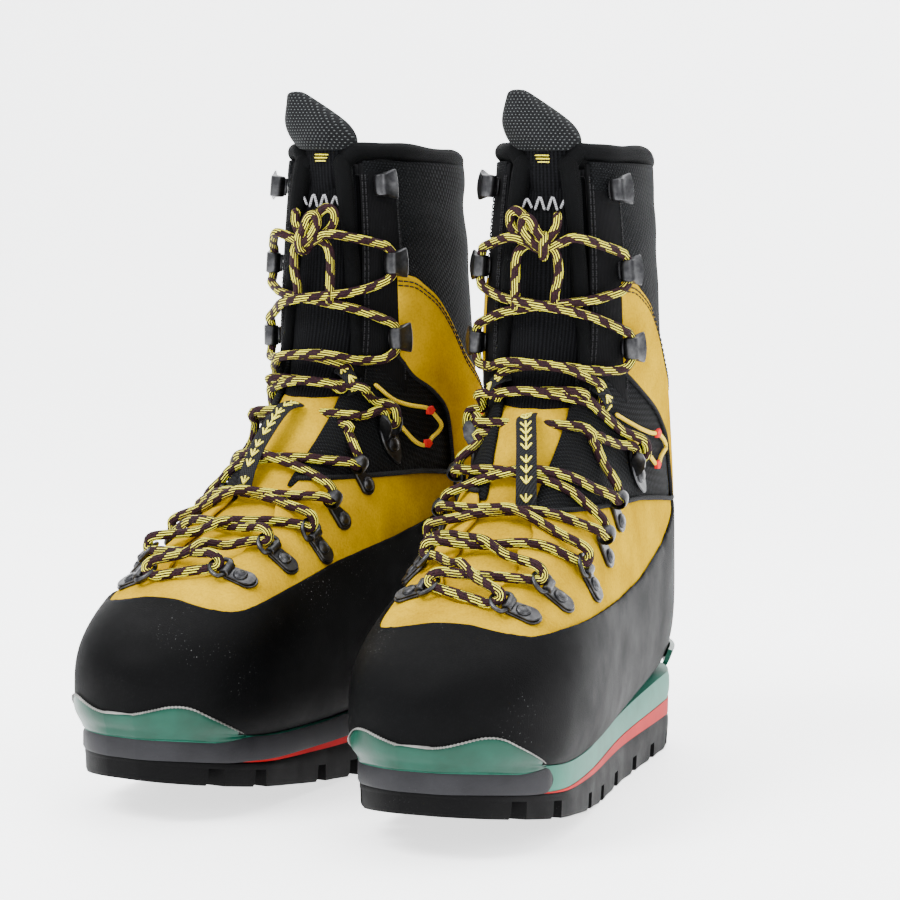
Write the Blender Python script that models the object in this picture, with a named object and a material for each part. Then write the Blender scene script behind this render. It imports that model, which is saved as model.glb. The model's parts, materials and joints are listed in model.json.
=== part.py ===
"""A pair of mountaineering boots.

Each boot has a lugged sole, a wedge and a midsole, moulded welts at toe and heel, a rubber rand, a leather
upper with riveted D-rings, a cuff that flexes on the foot, a tongue and a lace.

A boot is drawn in its own plan: x runs from the boot's middle line towards the foot's outer side, s runs
from the back of the heel towards the toe, and z runs up from the floor. in_room() puts a plan point in the
room, where the toes point along -Y, the left foot's boot stands at +X and the right foot's at -X.
"""

import math

import bmesh
import bpy
import numpy as np
from mathutils import Vector

# Where the pair stands.
SIDES = {"left": 1.0, "right": -1.0}
BOOT_SPACING = 0.1120
BOOT_STAGGER = 0.0080
TOE_OUT = math.radians(5.6)
PIVOT_S = 0.1456

# The sole.
SOLE_LENGTH = 0.288
TOE_ROUND = 0.060
HEEL_ROUND = 0.036
ROUND_POWER = 2.2
TOE_SPRING = 0.018
SPRING_START = 0.150
SPRING_POWER = 1.3
# Outer half width, inner half width and middle x at even steps from the heel to the toe.
SOLE_WIDTHS = ((0.0340, 0.0330, 0.0), (0.0345, 0.0335, 0.0), (0.0345, 0.0335, 0.0), (0.0385, 0.0365, 0.0),
               (0.0415, 0.0400, 0.0), (0.0385, 0.0375, -0.003))
# Heights of the outsole's upper face and of the feather line, where the upper meets the sole, as (s, z).
OUTSOLE_TOP = ((0.0, 0.0160), (0.170, 0.0165), (0.235, 0.0200), (0.288, 0.0275))
FEATHER_LINE = ((0.0, 0.0370), (0.055, 0.0350), (0.130, 0.0305), (0.190, 0.0290), (0.235, 0.0307),
                (0.288, 0.0385))
LUG_DEPTH = 0.006
LUG_PITCH = 0.0200
LUG_GAP = 0.0050
WALL_STEP = 0.00001
SOLE_END = 0.0008
WEDGE_TIP_S = 0.255
WEDGE_FRONT = 0.030
WEDGE_HEEL = 0.008
FOOTBED_HEEL = 0.018
FOOTBED_TOE = 0.022
FOOTBED_INSET = 0.0135
FOOTBED_THICKNESS = 0.0030
GAP = 0.0004

# The grid the shells are cut from.
SNAP = 0.12
TURN_STEPS = 21
ROW_STEPS = 17
ROW_CROWDING = 1.3

# The boot's form, from the nose to the collar, in metres. Each row is a closed section:
# back s, back z, front s, front z, outer half width, inner half width, middle x,
# height share of the widest place, squareness below it, squareness above it.
FORM = (
    (0.290, 0.0325, 0.290, 0.0820, 0.0410, 0.0400, -0.0030, 0.46, 4.0, 2.7),
    (0.262, 0.0288, 0.262, 0.0870, 0.0432, 0.0420, -0.0015, 0.45, 4.0, 2.7),
    (0.235, 0.0250, 0.237, 0.0980, 0.0455, 0.0435, 0.0000, 0.43, 4.0, 2.6),
    (0.205, 0.0235, 0.210, 0.1130, 0.0462, 0.0428, 0.0000, 0.41, 4.0, 2.4),
    (0.170, 0.0235, 0.186, 0.1270, 0.0445, 0.0410, 0.0000, 0.39, 4.0, 2.3),
    (0.130, 0.0248, 0.167, 0.1470, 0.0420, 0.0395, 0.0000, 0.39, 4.0, 2.2),
    (0.090, 0.0270, 0.155, 0.1630, 0.0408, 0.0390, 0.0000, 0.40, 3.8, 2.15),
    (0.055, 0.0292, 0.149, 0.1730, 0.0402, 0.0390, 0.0000, 0.41, 3.6, 2.15),
    (0.024, 0.0312, 0.146, 0.1790, 0.0398, 0.0390, 0.0000, 0.43, 3.2, 2.15),
    (0.005, 0.0390, 0.1445, 0.1830, 0.0395, 0.0388, 0.0000, 0.45, 2.7, 2.2),
    (0.000, 0.0600, 0.1430, 0.1880, 0.0395, 0.0388, 0.0000, 0.47, 2.4, 2.2),
    (0.001, 0.0860, 0.1415, 0.1940, 0.0395, 0.0388, 0.0000, 0.48, 2.3, 2.2),
    (0.006, 0.1120, 0.1400, 0.2030, 0.0394, 0.0386, 0.0000, 0.49, 2.2, 2.25),
    (0.013, 0.1410, 0.1390, 0.2160, 0.0388, 0.0380, 0.0000, 0.50, 2.2, 2.25),
    (0.0185, 0.1720, 0.1380, 0.2310, 0.0377, 0.0370, 0.0000, 0.50, 2.2, 2.25),
    (0.0235, 0.2060, 0.1375, 0.2470, 0.0361, 0.0355, 0.0000, 0.50, 2.2, 2.25),
    (0.0280, 0.2400, 0.1370, 0.2610, 0.0342, 0.0336, 0.0000, 0.50, 2.2, 2.25),
    (0.0320, 0.2720, 0.1370, 0.2720, 0.0322, 0.0316, 0.0000, 0.50, 2.2, 2.25),
)
NOSE_START = 0.232
NOSE_Z = 0.0570
NOSE_POWER = 2.4
NOSE_FLOOR_POWER = 6.0

# Layers of the upper, as depths below the form.
OVERLAY = (0.0004, -0.0009)
SHELL = (-0.0025, -0.0037)
LINING = (-0.0049, -0.0070)
TONGUE = (-0.0056, -0.0078)
WELT = (0.0038, 0.0016)

# Strips of the welts: lowest s, highest s, and their lower and upper edge above the feather line.
TOE_WELT = (0.228, 0.300, 0.0024, 0.0100)
HEEL_WELT = (-0.010, 0.042, 0.0055, 0.0130)

# Seams, as (s, z) or (s, half width) points.
RAND_TOP = ((0.000, 0.130), (0.038, 0.124), (0.083, 0.108), (0.120, 0.093), (0.158, 0.081), (0.208, 0.083),
            (0.262, 0.078), (0.290, 0.075))
TOE_SEAM_S = 0.2590
TOE_SEAM_BOW = 2.2
FOOT_TOP = ((0.000, 0.1270), (0.288, 0.1270))
CUFF_BOTTOM = ((0.000, 0.1410), (0.070, 0.1350), (0.150, 0.1640))
THROAT = ((0.150, 0.0165), (0.190, 0.0165), (0.205, 0.0150), (0.216, 0.0100), (0.2225, 0.0000),
          (0.226, -0.0060))
LINING_THROAT = ((0.225, 0.0300), (0.236, 0.0280), (0.244, -0.0100))
TONGUE_HALF = 0.0262
TONGUE_FRONT_S = 0.222
TONGUE_CREASE_Z = 0.262
CUFF_FRONT_HALF = 0.0225
CUFF_LINING_HALF = 0.0300
FEATHER_GAP = 0.0007
SEAM_GAP = 0.0010
LINING_STEP = 0.0015
PANEL_BOTTOM = ((0.000, 0.1500), (0.077, 0.1640), (0.145, 0.1800))
PANEL_TOP = 0.2160
PANEL_FRONT_ANGLE = 1.14
STAY_ANGLES = (0.66, 1.06)
STAY_BOTTOM = 0.1780
STAY_TOP = 0.2670

# Lacing hardware: places of the rivets as (s, half width, z).
FLANKS = {"outer": 1.0, "inner": -1.0}
RINGS = {
    "outer": ((0.2415, 0.0250, 0.0920), (0.2215, 0.0341, 0.0957), (0.1905, 0.0396, 0.0975)),
    "inner": ((0.2345, 0.0236, 0.0957), (0.2116, 0.0303, 0.1010), (0.1871, 0.0340, 0.1040)),
}
HOOKS = ((0.1250, 0.0295, 0.1910), (0.1235, 0.0280, 0.2230), (0.1235, 0.0262, 0.2570))
LOOPS = ((0.1820, 0.0390, 0.1130), (0.1640, 0.0390, 0.1270))
WIRE_RADIUS = 0.0010
RING_HALF_WIDTH = 0.0058
RING_REACH = 0.0075
RING_CORNER = 0.0018
CLIP_WIDTH = 0.0076
CLIP_SHEET = 0.0009
CLIP_TAIL = 0.0062
BAR_REACH = 0.0062
BAR_HEIGHT = 0.0014
LACE_RADIUS = 0.0020
LACE_REACH = 0.0205
LACE_LIFT = 0.0052
LACE_CROWN = 0.0045
HOOK_WIDTH = 0.0072
# A hook's side view, as (away from the throat, outwards): a plate that folds over at the throat's side and
# leaves its mouth on the side away from it.
HOOK_OUTLINE = ((0.0050, -0.0011), (0.0050, 0.0006), (-0.0022, 0.0006), (-0.0030, 0.0012), (-0.0030, 0.0038),
                (-0.0022, 0.0044), (0.0030, 0.0048), (0.0030, 0.0058), (-0.0028, 0.0054), (-0.0041, 0.0044),
                (-0.0041, -0.0011))

# Upper end of the tongue, as (s, z, half width) from the crease to the tip.
TIP_LINE = ((0.1315, 0.2632, 0.0170), (0.1322, 0.2720, 0.0175), (0.1345, 0.2830, 0.0175),
            (0.1370, 0.2930, 0.0140), (0.1382, 0.3010, 0.0075))
TIP_THICKNESS = 0.0045
TIP_THINNING = 0.6
TIP_BOW = 0.0125
TIP_BOW_HALF = 0.025

FINISHES = {
    "outsole_rubber": ((0.016, 0.016, 0.017), 0.80, 0.0),
    "wedge_red": ((0.60, 0.035, 0.045), 0.55, 0.0),
    "midsole_green": ((0.10, 0.34, 0.26), 0.50, 0.0),
    "welt_green": ((0.06, 0.33, 0.24), 0.35, 0.0),
    "rand_rubber": ((0.020, 0.021, 0.023), 0.75, 0.0),
    "suede_yellow": ((0.76, 0.42, 0.02), 0.90, 0.0),
    "lining_black": ((0.015, 0.015, 0.017), 0.90, 0.0),
    "mesh_black": ((0.018, 0.019, 0.022), 0.85, 0.0),
    "gunmetal": ((0.12, 0.12, 0.125), 0.35, 0.9),
    "lace_yellow": ((0.66, 0.62, 0.14), 0.80, 0.0),
}


def clear_scene():
    for item in list(bpy.data.objects):
        bpy.data.objects.remove(item, do_unlink=True)


def finish_material(name):
    """The material of one finish, made once."""
    found = bpy.data.materials.get(name)
    if found:
        return found
    colour, roughness, metallic = FINISHES[name]
    material = bpy.data.materials.new(name)
    material.use_nodes = True
    shader = material.node_tree.nodes["Principled BSDF"]
    shader.inputs["Base Color"].default_value = (*colour, 1.0)
    shader.inputs["Roughness"].default_value = roughness
    shader.inputs["Metallic"].default_value = metallic
    material.diffuse_color = (*colour, 1.0)
    return material


# Geometry of the plan.

def spline(rows, t):
    """Natural cubic spline through evenly spaced rows, read at t from 0 (first row) to 1 (last row)."""
    rows = np.asarray(rows, dtype=float)
    count = len(rows)
    system = np.eye(count)
    change = np.zeros_like(rows)
    for i in range(1, count - 1):
        system[i, i - 1:i + 2] = (1.0, 4.0, 1.0)
        change[i] = 6.0 * (rows[i - 1] - 2.0 * rows[i] + rows[i + 1])
    bend = np.linalg.solve(system, change)
    place = np.clip(t, 0.0, 1.0) * (count - 1)
    i = np.minimum(place.astype(int), count - 2)
    f = (place - i)[:, None]
    g = 1.0 - f
    return g * rows[i] + f * rows[i + 1] + ((g ** 3 - g) * bend[i] + (f ** 3 - f) * bend[i + 1]) / 6.0


def along(points, s):
    """Straight-line reading of a seam's (s, value) points at s."""
    places, values = zip(*points)
    return np.interp(s, places, values)


def roundness(share, power):
    """How far a rounded end still stands out, from 1 at share 0 to 0 at share 1."""
    return (1.0 - np.clip(share, 0.0, 1.0) ** power) ** (1.0 / power)


def signed_power(value, power):
    return np.sign(value) * np.abs(value) ** power


def form_points(u, v):
    """Points of the form.

    u runs from the nose (0) to the collar (1), and v turns from the front over the outer side.
    """
    rows = spline(FORM, u)
    back_s, back_z, front_s, front_z, outer, inner, middle, share, low, high = rows.T
    reach = (back_s - NOSE_START) / (FORM[0][0] - NOSE_START)
    nose = roundness(reach, NOSE_POWER)
    back_z = NOSE_Z + (back_z - NOSE_Z) * roundness(reach, NOSE_FLOOR_POWER)
    front_z = NOSE_Z + (front_z - NOSE_Z) * nose
    c = np.cos(v)
    n = np.sin(v)
    power = 2.0 / (2.0 + (np.where(c > 0.0, high, low) - 2.0) * nose)
    height = share + np.where(c > 0.0, 1.0 - share, share) * signed_power(c, power)
    x = middle + np.where(n > 0.0, outer, inner) * nose * signed_power(n, power)
    s = back_s + height * (front_s - back_s)
    z = back_z + height * (front_z - back_z)
    return np.stack([x, s, z], axis=1)


def form_normals(u, v):
    """Outward unit normals of the form."""
    step = 0.002
    u = np.clip(u, step, 1.0 - step)
    along_u = form_points(u + step, v) - form_points(u - step, v)
    along_v = form_points(u, v + step) - form_points(u, v - step)
    normals = np.cross(along_u, along_v)
    return normals / np.maximum(np.linalg.norm(normals, axis=1, keepdims=True), 1e-12)


def locate(s, x, z):
    """The (u, v) of the form's point nearest to a plan point."""
    us, vs = np.meshgrid(np.linspace(0.02, 0.99, 160), np.linspace(-math.pi, math.pi, 240))
    us = us.ravel()
    vs = vs.ravel()
    nearest = np.argmin(np.linalg.norm(form_points(us, vs) - (x, s, z), axis=1))
    return us[nearest], vs[nearest]


def sole_sides(s, inset=0.0):
    """Inner and outer x of the sole's outline at s, drawn in by inset."""
    length = SOLE_LENGTH - inset
    t = np.atleast_1d(s / SOLE_LENGTH)
    outer, inner, middle = spline(SOLE_WIDTHS, t).T
    toe = roundness((s - (length - TOE_ROUND)) / TOE_ROUND, ROUND_POWER)
    heel = roundness((HEEL_ROUND + inset - s) / HEEL_ROUND, ROUND_POWER)
    taper = toe * heel
    return middle - (inner - inset) * taper, middle + (outer - inset) * taper


def sole_bottom(s):
    return TOE_SPRING * max(0.0, (s - SPRING_START) / (SOLE_LENGTH - SPRING_START)) ** SPRING_POWER


def outsole_top(s):
    return along(OUTSOLE_TOP, s)


def wedge_top(s):
    return outsole_top(s) + WEDGE_HEEL * max(0.0, 1.0 - s / WEDGE_TIP_S)


def sole_top(s):
    return along(FEATHER_LINE, s)


def in_room(side, points):
    """Plan points (x, s, z) of one boot, in the room."""
    points = np.asarray(points, dtype=float)
    sign = SIDES[side]
    turn = TOE_OUT * sign
    x = points[:, 0] * sign
    y = PIVOT_S - points[:, 1]
    room = np.empty_like(points)
    room[:, 0] = x * math.cos(turn) - y * math.sin(turn) + sign * BOOT_SPACING / 2.0
    room[:, 1] = x * math.sin(turn) + y * math.cos(turn) - sign * BOOT_STAGGER / 2.0
    room[:, 2] = points[:, 2]
    return room


# Building objects.

def finish_object(side, name, bm, finish, smooth=True):
    """Put a plan-space mesh in the room as one named object."""
    places = in_room(side, [vertex.co for vertex in bm.verts])
    for vertex, place in zip(bm.verts, places):
        vertex.co = place
    bmesh.ops.remove_doubles(bm, verts=bm.verts, dist=1e-6)
    bmesh.ops.recalc_face_normals(bm, faces=bm.faces)
    mesh = bpy.data.meshes.new(f"{side}_{name}")
    bm.to_mesh(mesh)
    bm.free()
    if smooth:
        mesh.shade_smooth()
        mesh.set_sharp_from_angle(angle=math.radians(40.0))
    mesh.materials.append(finish_material(finish))
    item = bpy.data.objects.new(f"{side}_{name}", mesh)
    bpy.context.scene.collection.objects.link(item)
    return item


def loft(bm, sections, closed=False):
    """Bridge equal sections one after another, and close both ends unless the loft runs round."""
    rings = [[bm.verts.new(point) for point in section] for section in sections]
    pairs = list(zip(rings, rings[1:]))
    if closed:
        pairs.append((rings[-1], rings[0]))
    for ring, following in pairs:
        for i in range(len(ring)):
            j = (i + 1) % len(ring)
            bm.faces.new((ring[i], ring[j], following[j], following[i]))
    if not closed:
        bm.faces.new(rings[0])
        bm.faces.new(tuple(reversed(rings[-1])))


def slab_sections(places, bottom, top, inset=0.0):
    """Four-cornered cross-sections of a layer of the sole."""
    sections = []
    for s in places:
        left, right = (float(side[0]) for side in sole_sides(s, inset))
        low = bottom(s)
        high = top(s)
        sections.append(((left, s, low), (right, s, low), (right, s, high), (left, s, high)))
    return sections


def end_crowded(first, last, count):
    """Places from first to last that crowd together at both ends."""
    turn = np.linspace(0.0, math.pi, count)
    return first + (last - first) * (1.0 - np.cos(turn)) / 2.0


def flat_pattern(us, vs):
    """A grid cut out flat, with co = (u, v, 0)."""
    bm = bmesh.new()
    rows = [[bm.verts.new((u, v, 0.0)) for v in vs] for u in us]
    for row, following in zip(rows, rows[1:]):
        for j in range(len(vs) - 1):
            bm.faces.new((row[j], row[j + 1], following[j + 1], following[j]))
    return bm


def field_at(field, flat):
    """A seam's field at flat (u, v) places."""
    u, v = flat.T
    x, s, z = form_points(u, v).T
    return field(x, s, z, u, v)


def crossings(bm, values, field):
    """The edges that a seam crosses, and how far along each one it crosses, found by halving."""
    edges = [edge for edge in bm.edges if values[edge.verts[0]] * values[edge.verts[1]] < 0.0]
    if not edges:
        return []
    starts = np.array([edge.verts[0].co[:2] for edge in edges])
    ends = np.array([edge.verts[1].co[:2] for edge in edges])
    sign = np.sign([values[edge.verts[0]] for edge in edges])
    low = np.zeros(len(edges))
    high = np.ones(len(edges))
    for _ in range(14):
        middle = (low + high) / 2.0
        same = sign * field_at(field, starts + (ends - starts) * middle[:, None]) > 0.0
        low = np.where(same, middle, low)
        high = np.where(same, high, middle)
    return list(zip(edges, low))


def cut(bm, field):
    """Cut a flat pattern along a seam and keep the side where the seam's field is above zero."""
    flat = np.array([vertex.co[:2] for vertex in bm.verts])
    values = dict(zip(bm.verts, field_at(field, flat).tolist()))
    for edge, share in crossings(bm, values, field):
        a, b = edge.verts
        nearer = a if share < SNAP else b if share > 1.0 - SNAP else None
        if nearer and nearer.co.x > 0.0 and values[a] * values[b] < 0.0:
            nearer.co = a.co.lerp(b.co, share)
            values[nearer] = 0.0
    for edge, share in crossings(bm, values, field):
        _, middle = bmesh.utils.edge_split(edge, edge.verts[0], share)
        values[middle] = 0.0
    seam = [vertex for vertex in bm.verts if values[vertex] == 0.0]
    bmesh.ops.connect_verts(bm, verts=seam)
    outside = [face for face in bm.faces if sum(values[vertex] for vertex in face.verts) <= 0.0]
    bmesh.ops.delete(bm, geom=outside, context="FACES")
    loose = [vertex for vertex in bm.verts if not vertex.link_faces]
    bmesh.ops.delete(bm, geom=loose, context="VERTS")
    return bm


def wrap(pattern, layer):
    """Wrap a flat pattern on the form as a sheet between a layer's two depths."""
    flat = np.array([vertex.co[:2] for vertex in pattern.verts])
    u, v = flat.T
    points = form_points(u, v)
    normals = form_normals(u, v)
    pattern.verts.index_update()
    bm = bmesh.new()
    front, back = ([bm.verts.new(point) for point in points + normals * depth] for depth in layer)
    for face in pattern.faces:
        corners = [vertex.index for vertex in face.verts]
        bm.faces.new([front[i] for i in corners])
        bm.faces.new([back[i] for i in reversed(corners)])
    for edge in pattern.edges:
        a, b = edge.verts
        on_joint = all(min(abs(vertex.co.y), abs(2.0 * math.pi - vertex.co.y)) < 1e-6 for vertex in (a, b))
        if edge.is_boundary and not on_joint and edge.calc_length() > 0.0:
            bm.faces.new((front[a.index], front[b.index], back[b.index], back[a.index]))
    pattern.free()
    return bm


def sheet(us, vs, layer, *seams):
    """A piece of the upper: a pattern cut along its seams and wrapped at a layer."""
    pattern = flat_pattern(us, vs)
    for seam in seams:
        cut(pattern, seam)
    bm = wrap(pattern, layer)
    bmesh.ops.remove_doubles(bm, verts=bm.verts, dist=2e-5)
    bmesh.ops.dissolve_degenerate(bm, edges=bm.edges, dist=2e-5)
    return bm


# Seams: each field is above zero on the side that is kept.

def above_feather(x, s, z, u, v):
    return z - sole_top(s) - FEATHER_GAP


def below_rand_top(x, s, z, u, v):
    toe_seam = TOE_SEAM_S + TOE_SEAM_BOW * x ** 2
    return np.maximum(along(RAND_TOP, s) - z, s - toe_seam)


def below_foot_top(x, s, z, u, v):
    return along(FOOT_TOP, s) - z


def outside_throat(x, s, z, u, v):
    return np.where(np.cos(v) > 0.0, np.abs(x) - along(THROAT, s), 1.0)


def outside_lining_throat(x, s, z, u, v):
    return np.where(np.cos(v) > 0.0, np.abs(x) - along(LINING_THROAT, s), 1.0)


def below_lining_top(x, s, z, u, v):
    return along(FOOT_TOP, s) - LINING_STEP - z


def above_ankle_seam(x, s, z, u, v):
    return z - along(FOOT_TOP, s) - SEAM_GAP


def below_cuff_seam(x, s, z, u, v):
    return along(CUFF_BOTTOM, s) - SEAM_GAP - z


def above_cuff_bottom(x, s, z, u, v):
    return z - along(CUFF_BOTTOM, s)


def above_cuff_lining_bottom(x, s, z, u, v):
    return z - along(CUFF_BOTTOM, s) - LINING_STEP


def above_panel_bottom(x, s, z, u, v):
    return z - along(PANEL_BOTTOM, s)


def below_panel_top(x, s, z, u, v):
    return PANEL_TOP - z


def above_stay_bottom(x, s, z, u, v):
    return z - STAY_BOTTOM


def below_stay_top(x, s, z, u, v):
    return STAY_TOP - z


def behind_tongue_front(x, s, z, u, v):
    return TONGUE_FRONT_S - s


def below_crease(x, s, z, u, v):
    return TONGUE_CREASE_Z - z


def inside_tongue(x, s, z, u, v):
    return TONGUE_HALF - np.abs(x)


def outside_front(half):
    """The side of a cuff beyond a front opening of a given half width."""
    def field(x, s, z, u, v):
        return np.where(np.cos(v) > 0.0, np.abs(x) - half, 1.0)
    return field


def band(lowest_s, highest_s, low, high):
    """A low strip along the feather line between two places."""
    def field(x, s, z, u, v):
        above = z - sole_top(s)
        return np.minimum(np.minimum(s - lowest_s, highest_s - s), np.minimum(high - above, above - low))
    return field


# The pieces of one boot.

def outsole_stations():
    """Places along the outsole with the groove depth at each, two close places for each wall of a groove."""
    grooves = np.arange(LUG_PITCH, SOLE_LENGTH - LUG_PITCH, LUG_PITCH)
    half = LUG_GAP / 2.0
    stations = []
    for s in end_crowded(SOLE_END, SOLE_LENGTH - SOLE_END, 26):
        if min(abs(grooves - s)) > half + 0.001:
            stations.append((s, 0.0))
    for s in grooves:
        stations.append((s - half - WALL_STEP, 0.0))
        stations.append((s - half, LUG_DEPTH))
        stations.append((s + half, LUG_DEPTH))
        stations.append((s + half + WALL_STEP, 0.0))
    return sorted(stations)


def outsole_section(s, groove):
    left, right = (float(edge[0]) for edge in sole_sides(s))
    low = sole_bottom(s) + groove
    high = outsole_top(s)
    return (left, s, low), (right, s, low), (right, s, high), (left, s, high)


def build_sole(side):
    """Outsole with cross lugs, wedge, midsole and footbed."""
    bm = bmesh.new()
    loft(bm, [outsole_section(s, groove) for s, groove in outsole_stations()])
    finish_object(side, "outsole", bm, "outsole_rubber", smooth=False)

    bm = bmesh.new()
    places = end_crowded(SOLE_END + GAP, WEDGE_TIP_S - WEDGE_FRONT, 16)
    loft(bm, slab_sections(places, lambda s: outsole_top(s) + GAP, wedge_top, GAP))
    finish_object(side, "midsole_wedge", bm, "wedge_red")

    bm = bmesh.new()
    places = end_crowded(SOLE_END, SOLE_LENGTH - SOLE_END, 24)
    loft(bm, slab_sections(places, lambda s: wedge_top(s) + 2.0 * GAP, lambda s: sole_top(s) - GAP))
    finish_object(side, "midsole", bm, "midsole_green")

    bm = bmesh.new()
    places = end_crowded(FOOTBED_HEEL, SOLE_LENGTH - FOOTBED_TOE, 16)
    loft(bm, slab_sections(places, sole_top, lambda s: sole_top(s) + FOOTBED_THICKNESS, FOOTBED_INSET))
    finish_object(side, "footbed", bm, "lining_black")


def form_rows():
    """The rows that the shells share, from the nose to the collar."""
    return np.linspace(0.0, 1.0, ROW_STEPS) ** ROW_CROWDING


def whole_turn():
    return np.linspace(0.0, 2.0 * math.pi, TURN_STEPS)


def build_upper(side):
    """The foot's shell, lining, rand and welts."""
    rows = form_rows()
    turn = whole_turn()
    bm = sheet(rows, turn, OVERLAY, above_feather, below_rand_top)
    finish_object(side, "rand", bm, "rand_rubber")
    bm = sheet(rows, turn, SHELL, above_feather, below_foot_top, outside_throat)
    finish_object(side, "vamp", bm, "suede_yellow")
    bm = sheet(rows, turn, LINING, above_feather, below_lining_top, outside_lining_throat)
    finish_object(side, "foot_lining", bm, "lining_black")

    toe_us = 0.20 * np.linspace(0.0, 1.0, 10) ** 2.4
    toe_turn = np.linspace(0.6, 2.0 * math.pi - 0.6, 31)
    bm = sheet(toe_us, toe_turn, WELT, band(*TOE_WELT))
    finish_object(side, "toe_welt", bm, "welt_green")
    heel_us = np.linspace(0.36, 0.62, 16)
    heel_turn = np.linspace(1.6, 2.0 * math.pi - 1.6, 27)
    bm = sheet(heel_us, heel_turn, WELT, band(*HEEL_WELT))
    finish_object(side, "heel_welt", bm, "welt_green")


def build_soft(side):
    """The parts that bend between foot and cuff: ankle panel and tongue."""
    beside_tongue = outside_front(TONGUE_HALF)
    bm = sheet(form_rows(), whole_turn(), SHELL, above_ankle_seam, below_cuff_seam, beside_tongue)
    finish_object(side, "ankle_panel", bm, "mesh_black")
    tongue_us = np.linspace(0.08, 0.96, 19)
    tongue_turn = np.linspace(-0.95, 0.95, 9)
    bm = sheet(tongue_us, tongue_turn, TONGUE, behind_tongue_front, below_crease, inside_tongue)
    finish_object(side, "tongue", bm, "mesh_black")


def build_cuff(side):
    """The cuff's shell, its lining and the suede panel round its sides and back."""
    rows = form_rows()
    turn = whole_turn()
    bm = sheet(rows, turn, SHELL, above_cuff_bottom, outside_front(CUFF_FRONT_HALF))
    finish_object(side, "cuff_shell", bm, "mesh_black")
    bm = sheet(rows, turn, LINING, above_cuff_lining_bottom, outside_front(CUFF_LINING_HALF))
    finish_object(side, "cuff_lining", bm, "lining_black")
    panel_turn = np.linspace(PANEL_FRONT_ANGLE, 2.0 * math.pi - PANEL_FRONT_ANGLE, 19)
    bm = sheet(np.linspace(0.60, 0.90, 7), panel_turn, OVERLAY, above_panel_bottom, below_panel_top)
    finish_object(side, "cuff_panel", bm, "suede_yellow")


def frame_at(s, x, z):
    """A local frame on the form: its origin, then away from the throat, up the throat, and outwards."""
    u, v = locate(s, x, z)
    place = np.array([u]), np.array([v])
    origin = Vector(form_points(*place)[0])
    normal = Vector(form_normals(*place)[0])
    higher = Vector(form_points(place[0] + 0.004, place[1])[0])
    lower = Vector(form_points(place[0] - 0.004, place[1])[0])
    up_throat = higher - lower
    up_throat = (up_throat - normal * up_throat.dot(normal)).normalized()
    away = up_throat.cross(normal)
    if away.x * x < 0.0:
        away.negate()
    return origin, away, up_throat, normal


def swept(bm, frame, outline, half_width):
    """A strip of constant outline in the (away, normal) plane, as wide as given along the throat."""
    origin, away, up_throat, normal = frame
    sections = []
    for reach in (-half_width, half_width):
        sections.append([origin + away * a + normal * n + up_throat * reach for a, n in outline])
    loft(bm, sections)


def clip_outline():
    """Folded sheet: a flat tail under the rivet and a curl round the ring's bar."""
    inner = WIRE_RADIUS + GAP
    outer = inner + CLIP_SHEET
    turns = np.linspace(-0.5 * math.pi, 0.85 * math.pi, 7)
    curl_out = [(-BAR_REACH - outer * math.cos(t), BAR_HEIGHT + outer * math.sin(t)) for t in turns]
    curl_in = [(-BAR_REACH - inner * math.cos(t), BAR_HEIGHT + inner * math.sin(t)) for t in turns]
    floor = BAR_HEIGHT - outer
    return [(CLIP_TAIL, floor)] + curl_out + curl_in[::-1] + [(CLIP_TAIL, floor + CLIP_SHEET)]


def tube(bm, path, radius, corners, closed=False):
    """A round tube along a path, without twist."""
    count = len(path)
    sections = []
    normal = None
    for i, point in enumerate(path):
        before = path[i - 1] if closed or i > 0 else point
        after = path[(i + 1) % count] if closed or i + 1 < count else point
        forward = (after - before).normalized()
        if normal is None:
            normal = forward.orthogonal().normalized()
        normal = (normal - forward * normal.dot(forward)).normalized()
        side = forward.cross(normal)
        sections.append([point + (normal * math.cos(t) + side * math.sin(t)) * radius
                         for t in np.linspace(0.0, 2.0 * math.pi, corners, endpoint=False)])
    loft(bm, sections, closed)


def ring_path(frame):
    """A D: a straight bar and a half round, lying along the surface towards the throat."""
    origin, away, up_throat, normal = frame
    straight = RING_HALF_WIDTH - RING_CORNER
    nearly = RING_HALF_WIDTH - RING_CORNER / 4.0
    points = [(0.0, -straight), (0.0, straight), (RING_CORNER / 4.0, nearly)]
    for t in np.linspace(0.0, math.pi, 6):
        points.append((RING_CORNER + (RING_REACH - RING_CORNER) * math.sin(t), RING_HALF_WIDTH * math.cos(t)))
    points.append((RING_CORNER / 4.0, -nearly))
    bar = origin - away * BAR_REACH + normal * BAR_HEIGHT
    return [bar - away * a + up_throat * b for a, b in points]


def build_rings(side):
    """Three riveted clips and D-rings on each side of the throat."""
    for flank, sign in FLANKS.items():
        for number, (s, x, z) in enumerate(RINGS[flank], start=1):
            frame = frame_at(s, sign * x, z)
            bm = bmesh.new()
            swept(bm, frame, clip_outline(), CLIP_WIDTH / 2.0)
            finish_object(side, f"ring_clip_{flank}_{number}", bm, "gunmetal", smooth=False)
            bm = bmesh.new()
            tube(bm, ring_path(frame), WIRE_RADIUS, 5, closed=True)
            finish_object(side, f"lace_ring_{flank}_{number}", bm, "gunmetal")


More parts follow.
